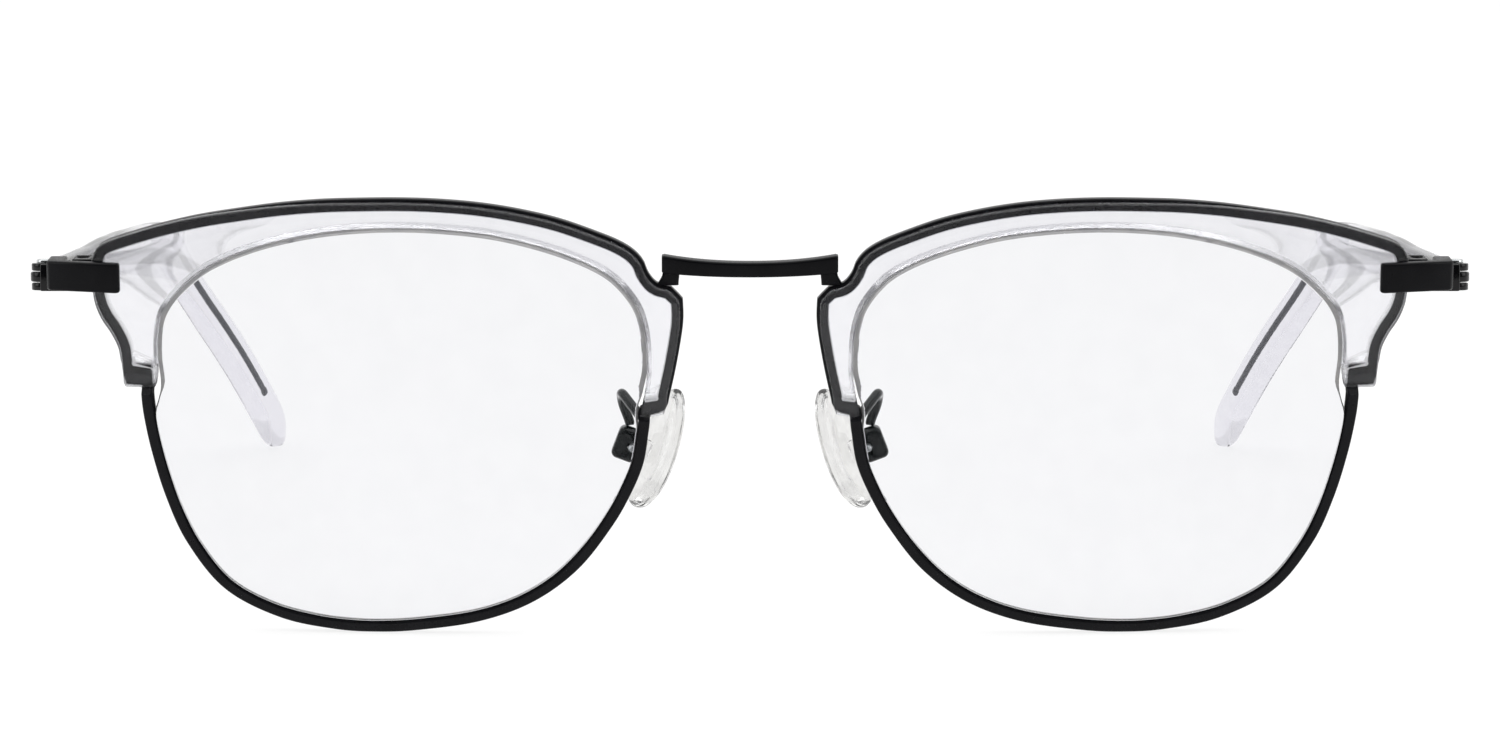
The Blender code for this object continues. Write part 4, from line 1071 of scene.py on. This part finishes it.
def build_core(side, sign):
    stations = [(LEAF_END + 0.35, 0.7, 0.7, 0)]
    stations += [(along, 1, 1, core_shift(along))
                 for along in stops(LEAF_END + 0.5, CORE_END - 1.1, 2.0, 0.8)]
    stations += [(CORE_END - before, tall, thick, core_shift(CORE_END))
                 for before, tall, thick in CORE_TAIL]
    rings = [blade_ring(along, CORE_R * tall, CORE_R * thick, shift, count=24, power=1.0)
             for along, tall, thick, shift in stations]
    core = to_mesh(side + "_temple_core_wire", skin(rings), sign, CORE)
    finish(core, side + "_temple_core", side + "_temple")


def build_sleeve(side, sign):
    """Clear skin straight round the core, with a rounded mouth and tip."""
    tall, thick = size_at(SLEEVE_START)
    rings = [blade_ring(SLEEVE_START + SLEEVE_MOUTH - SLEEVE_MOUTH * sine,
                        tall - SLEEVE_MOUTH + SLEEVE_MOUTH * cosine,
                        thick - SLEEVE_MOUTH + SLEEVE_MOUTH * cosine)
             for sine, cosine in reversed(quarter(4)[:4])]
    rings += [blade_ring(along, *size_at(along))
              for along in stops(SLEEVE_START + 0.5, SLEEVE_TIP, 1.6, 0.7)]
    for sine, cosine in quarter(12)[1:12]:
        along = SLEEVE_TIP + (SLEEVE_END - SLEEVE_TIP) * sine
        tall, thick = size_at(along)
        rings.append(blade_ring(along, tall * cosine ** 0.8, thick * cosine ** 0.5))
    sleeve = to_mesh(side + "_clear_temple_sleeve", skin(rings), sign, SLEEVE)
    finish(sleeve, side + "_temple_sleeve", side + "_temple")


# ------------------------------------------------------------------ nose pads
# The lug and box are square to PAD_UP, PAD_OUT and PAD_BACK; the pad itself is splayed.
PAD_UP = Vector((-math.sin(PAD_TILT), 0.0, math.cos(PAD_TILT)))
PAD_BACK = Vector((0.0, 1.0, 0.0))
PAD_OUT = PAD_BACK.cross(PAD_UP)
SPLAY_BACK = PAD_BACK * math.cos(PAD_SPLAY) + PAD_OUT * math.sin(PAD_SPLAY)
SPLAY_OUT = PAD_OUT * math.cos(PAD_SPLAY) - PAD_BACK * math.sin(PAD_SPLAY)
PAD_ROWS, PAD_COUNT = 26, 72
BOX_HALF = (1.30, 1.65, 1.10)     # outward, up, back
PAD_SCREW_HALF = 1.2
# Arm radii from each end inward.
ARM_RADII = (0.39, 0.465, 0.4925, 0.49)


def pad_brick(centre, outs, ups, backs):
    return brick(lambda x, y, z: lean(*(centre + PAD_OUT * x + PAD_UP * y + PAD_BACK * z)),
                 outs, ups, backs)


def pad_bore(clearance):
    radius = PAD_SCREW_R + clearance
    return turned(lean(*(PAD_SCREW_CENTRE + PAD_BACK * -2)), lean(0, 1, 0),
                  [(radius, 0), (radius, 4)], 32, (0, 0, 1))


def pad_point(around, reach, rise):
    """Point of the pad's skin; rise is -1 on the nose side and 1 on the far side."""
    z, y = math.sin(around), math.cos(around)
    half_width = (PAD_WIDTH / 2) * (1.0 - 0.16 * z)
    seam = -0.035 * math.exp(-((rise - 0.05) / 0.05) ** 2)
    sag = -0.025 * math.sin(3.1 * around + 0.8) * reach ** 3
    if rise > 0:
        hollow = -(0.35 * (1 - (z * reach) ** 2) + 0.10 * (1 - reach ** 2))
    else:
        hollow = 0.10 * math.exp(-((z * reach + 0.15) ** 2 + (y * reach) ** 2) / 0.08)
    return lean(*(PAD_CENTRE + PAD_UP * (z * (PAD_LENGTH / 2 - 0.05 + seam + sag) * reach)
                  + SPLAY_BACK * (y * (half_width - 0.05 + seam) * reach)
                  + SPLAY_OUT * (rise * PAD_THICK / 2 + hollow)))


def build_nose_pad(side, sign):
    """Soft drop-shaped pad, hollowed on its far side, with a seam and a bored lug."""
    rings = []
    for i in range(1, PAD_ROWS):
        angle = -math.pi / 2 + math.pi * i / PAD_ROWS
        rings.append([pad_point(2 * math.pi * k / PAD_COUNT, math.cos(angle) ** 0.55,
                                math.sin(angle)) for k in range(PAD_COUNT)])
    pad = to_mesh(side + "_nose_pad_silicone", skin(rings), sign, SILICONE)
    lug_solid = pad_brick(PAD_SCREW_CENTRE, (-2.2, 0.75), (-0.95, 0.95), (-0.45, 0.45))
    lug = to_mesh("lug", lug_solid, sign, smooth=False)
    round_edges(lug, 0.16)
    combine(pad, lug, "UNION")
    cut(pad, pad_bore(0.06), sign)
    shade(pad.data, 50)
    finish(pad, side + "_nose_pad", side + "_pad")


def build_pad_box(side, sign):
    """Rounded box, slotted from the nose side for the pad's lug."""
    solid = pad_brick(PAD_BOX_CENTRE, *((-half, half) for half in BOX_HALF))
    shell = to_mesh(side + "_pad_box_shell", solid, sign, GLOSS_BLACK, smooth=False)
    round_edges(shell, 0.62, segments=7, min_angle=30)
    cut(shell, pad_brick(PAD_BOX_CENTRE, (-3.0, 0.72), (-3.0, 3.0), (-0.53, 0.53)), sign)
    cut(shell, pad_bore(0.04), sign)
    sharpen(shell.data)
    finish(shell, side + "_pad_box")


def build_pad_screw(side, sign):
    axis = lean(0, 1, 0).normalized()
    base = lean(*(PAD_SCREW_CENTRE + Vector((0, -PAD_SCREW_HALF, 0))))
    radius, length = PAD_SCREW_R, 2 * PAD_SCREW_HALF
    screw = to_mesh(side + "_pad_screw_turned", turned(base, axis, [
        (radius - 0.16, 0.0), (radius - 0.05, 0.04), (radius, 0.12), (radius, length - 0.12),
        (radius - 0.05, length - 0.04), (radius - 0.16, length)], 36), sign, STEEL)
    along = (ACROSS + axis.cross(ACROSS).normalized() * 0.6).normalized()
    cut(screw, screw_slot(base - axis * 0.3, along, axis.cross(along).normalized(), axis,
                          half_width=0.09, height=0.42), sign)
    sharpen(screw.data)
    finish(screw, side + "_pad_screw")


def build_pad_arm(side, sign):
    """Rod looping back from the eyewire, up and down onto the pad box."""
    top = PAD_BOX_CENTRE + PAD_UP * 1.85 + PAD_OUT * 0.45
    start = depth(10.6, 21.6) + WIRE_BACK + 0.28
    control = [(10.75, start, 21.5), (11.3, start + 0.9, 22.0), (12.2, 3.9, 22.75),
               (12.75, 5.3, 23.1), (12.9, 6.9, 22.6), (12.75, 8.0, 21.4),
               (top.x + 0.12, top.y, top.z + 0.6), tuple(top)]
    path = [lean(*Vector(point)) for point in even(spline(control, 14), 0.16)]
    rings, last, x_axis = [], len(path) - 1, ACROSS
    for i, point in enumerate(path):
        direction = (path[min(i + 1, last)] - path[max(i - 1, 0)]).normalized()
        x_axis = (x_axis - direction * x_axis.dot(direction)).normalized()
        y_axis = direction.cross(x_axis)
        radius = ARM_RADII[min(i, last - i, 3)]
        rings.append([point + x_axis * x + y_axis * y for x, y in circle(radius)])
    arm = to_mesh(side + "_pad_arm_rod", skin(rings), sign, GLOSS_BLACK)
    finish(arm, side + "_pad_arm")


# ----------------------------------------------------------------- everything
build_bridge()
for side_name, side_sign in SIDES:
    for build in (build_eyewire, build_insert, build_lens, build_endpiece,
                  build_closing_blocks, build_rim_screw, build_front_hinge,
                  build_hinge_screw, build_temple_hinge, build_core, build_sleeve,
                  build_pad_arm, build_pad_box, build_pad_screw, build_nose_pad):
        build(side_name, side_sign)

# ---------------------------------------------------------------------- stage
# From here on lengths are metres.
STAGE_HALF = 4.0
STAGE_COLUMNS = 10
CURVE_START, CURVE_SIZE = 2.4, 0.8
STAGE_TOP = 2.4


def build_stage():
    """Pale, faintly lit floor that curves up into a backdrop."""
    profile = [(-STAGE_HALF, 0.0)]
    profile += [(CURVE_START + CURVE_SIZE * sine, CURVE_SIZE - CURVE_SIZE * cosine)
                for sine, cosine in quarter(16)]
    profile.append((3.2, STAGE_TOP))
    columns = [-STAGE_HALF + 2 * STAGE_HALF * i / STAGE_COLUMNS
               for i in range(STAGE_COLUMNS + 1)]
    row = len(columns)
    points = [(x, y, z) for y, z in profile for x in columns]
    faces = [(i * row + k, i * row + k + 1, (i + 1) * row + k + 1, (i + 1) * row + k)
             for i in range(len(profile) - 1) for k in range(STAGE_COLUMNS)]
    mesh = bpy.data.meshes.new("pale_floor")
    mesh.from_pydata(points, [], faces)
    mesh.polygons.foreach_set("use_smooth", [True] * len(mesh.polygons))
    floor = bpy.data.objects.new("pale_floor", mesh)
    bpy.context.scene.collection.objects.link(floor)
    material, tree, shader = new_material("pale_floor")
    cloud = grain(tree, scale=6, detail=2)
    feed(tree, shader, {
        "Base Color": two_tone(tree, cloud, (0.200, 0.200, 0.200), (0.210, 0.210, 0.210)),
        "Emission Color": (1, 1, 1, 1),
        "Emission Strength": 0.84,
        "Roughness": spread(tree, cloud, low=0.85, high=0.95),
        "Specular IOR Level": 0.1})
    mesh.materials.append(material)


def aim(item, place, target):
    """Set an object at a place, looking at the target."""
    item.location = place
    item.rotation_mode = "QUATERNION"
    item.rotation_quaternion = (Vector(target) - item.location).to_track_quat("-Z", "Y")
    bpy.context.scene.collection.objects.link(item)


def add_area_light(name, place, size, power):
    light = bpy.data.lights.new(name, "AREA")
    light.shape, light.size, light.size_y = "RECTANGLE", size[0], size[1]
    light.energy = power
    aim(bpy.data.objects.new(name, light), place, (0, 0, 0.02))


def build_world():
    """Dark room in front of the glasses, bright behind and above.

    Black stays black, and the rims of the clear parts draw as dark lines.
    """
    world = bpy.data.worlds.new("soft_room")
    bpy.context.scene.world = world
    world.use_nodes = True
    tree = world.node_tree
    coordinates = tree.nodes.new("ShaderNodeTexCoord").outputs["Generated"]
    direction = add_node(tree, "SeparateXYZ", {"Vector": coordinates}).outputs
    behind = spread(tree, direction["Y"], low=0.05, high=1.0, from_low=-0.65,
                    from_high=0.55, interpolation="SMOOTHSTEP")
    above = spread(tree, direction["Z"], low=0.0, high=0.9, from_low=0.45,
                   from_high=0.95, interpolation="SMOOTHSTEP")
    camera_ray = tree.nodes.new("ShaderNodeLightPath").outputs["Is Camera Ray"]
    strength = math_node(tree, "MAXIMUM", math_node(tree, "MAXIMUM", behind, above),
                         math_node(tree, "MULTIPLY", camera_ray, 1.05))
    feed(tree, tree.nodes["Background"], {"Strength": strength,
                                          "Color": (1.0, 1.0, 1.0, 1)})


build_stage()
add_area_light("soft_top", place=(0.0, -0.10, 0.85), size=(1.3, 1.1), power=3.4)
add_area_light("soft_left", place=(-0.9, -0.35, 0.45), size=(0.5, 0.7), power=2.2)
add_area_light("soft_right", place=(0.9, -0.35, 0.45), size=(0.5, 0.7), power=2.2)
build_world()

# --------------------------------------------------------------------- camera
LOOK_AT = (lean(0, 0, 26.0) + SHIFT) * MM
CAMERA_RISE = math.radians(7.5)
CAMERA_DISTANCE = 0.460

lens_data = bpy.data.cameras.new("camera")
lens_data.sensor_width = 36.0
lens_data.lens = 112.06
lens_data.clip_start, lens_data.clip_end = 0.01, 20.0
camera = bpy.data.objects.new("camera", lens_data)
towards_camera = Vector((0, -math.cos(CAMERA_RISE), math.sin(CAMERA_RISE)))
aim(camera, LOOK_AT + towards_camera * CAMERA_DISTANCE, LOOK_AT)

scene = bpy.context.scene
scene.camera = camera
scene.view_settings.view_transform = "Standard"
scene.view_settings.look = "None"
scene.cycles.max_bounces = 20
scene.cycles.transmission_bounces = 20
scene.cycles.transparent_max_bounces = 24
scene.cycles.glossy_bounces = 6
scene.cycles.diffuse_bounces = 4
scene.cycles.caustics_refractive = True
scene.cycles.caustics_reflective = False

bpy.context.view_layer.update()
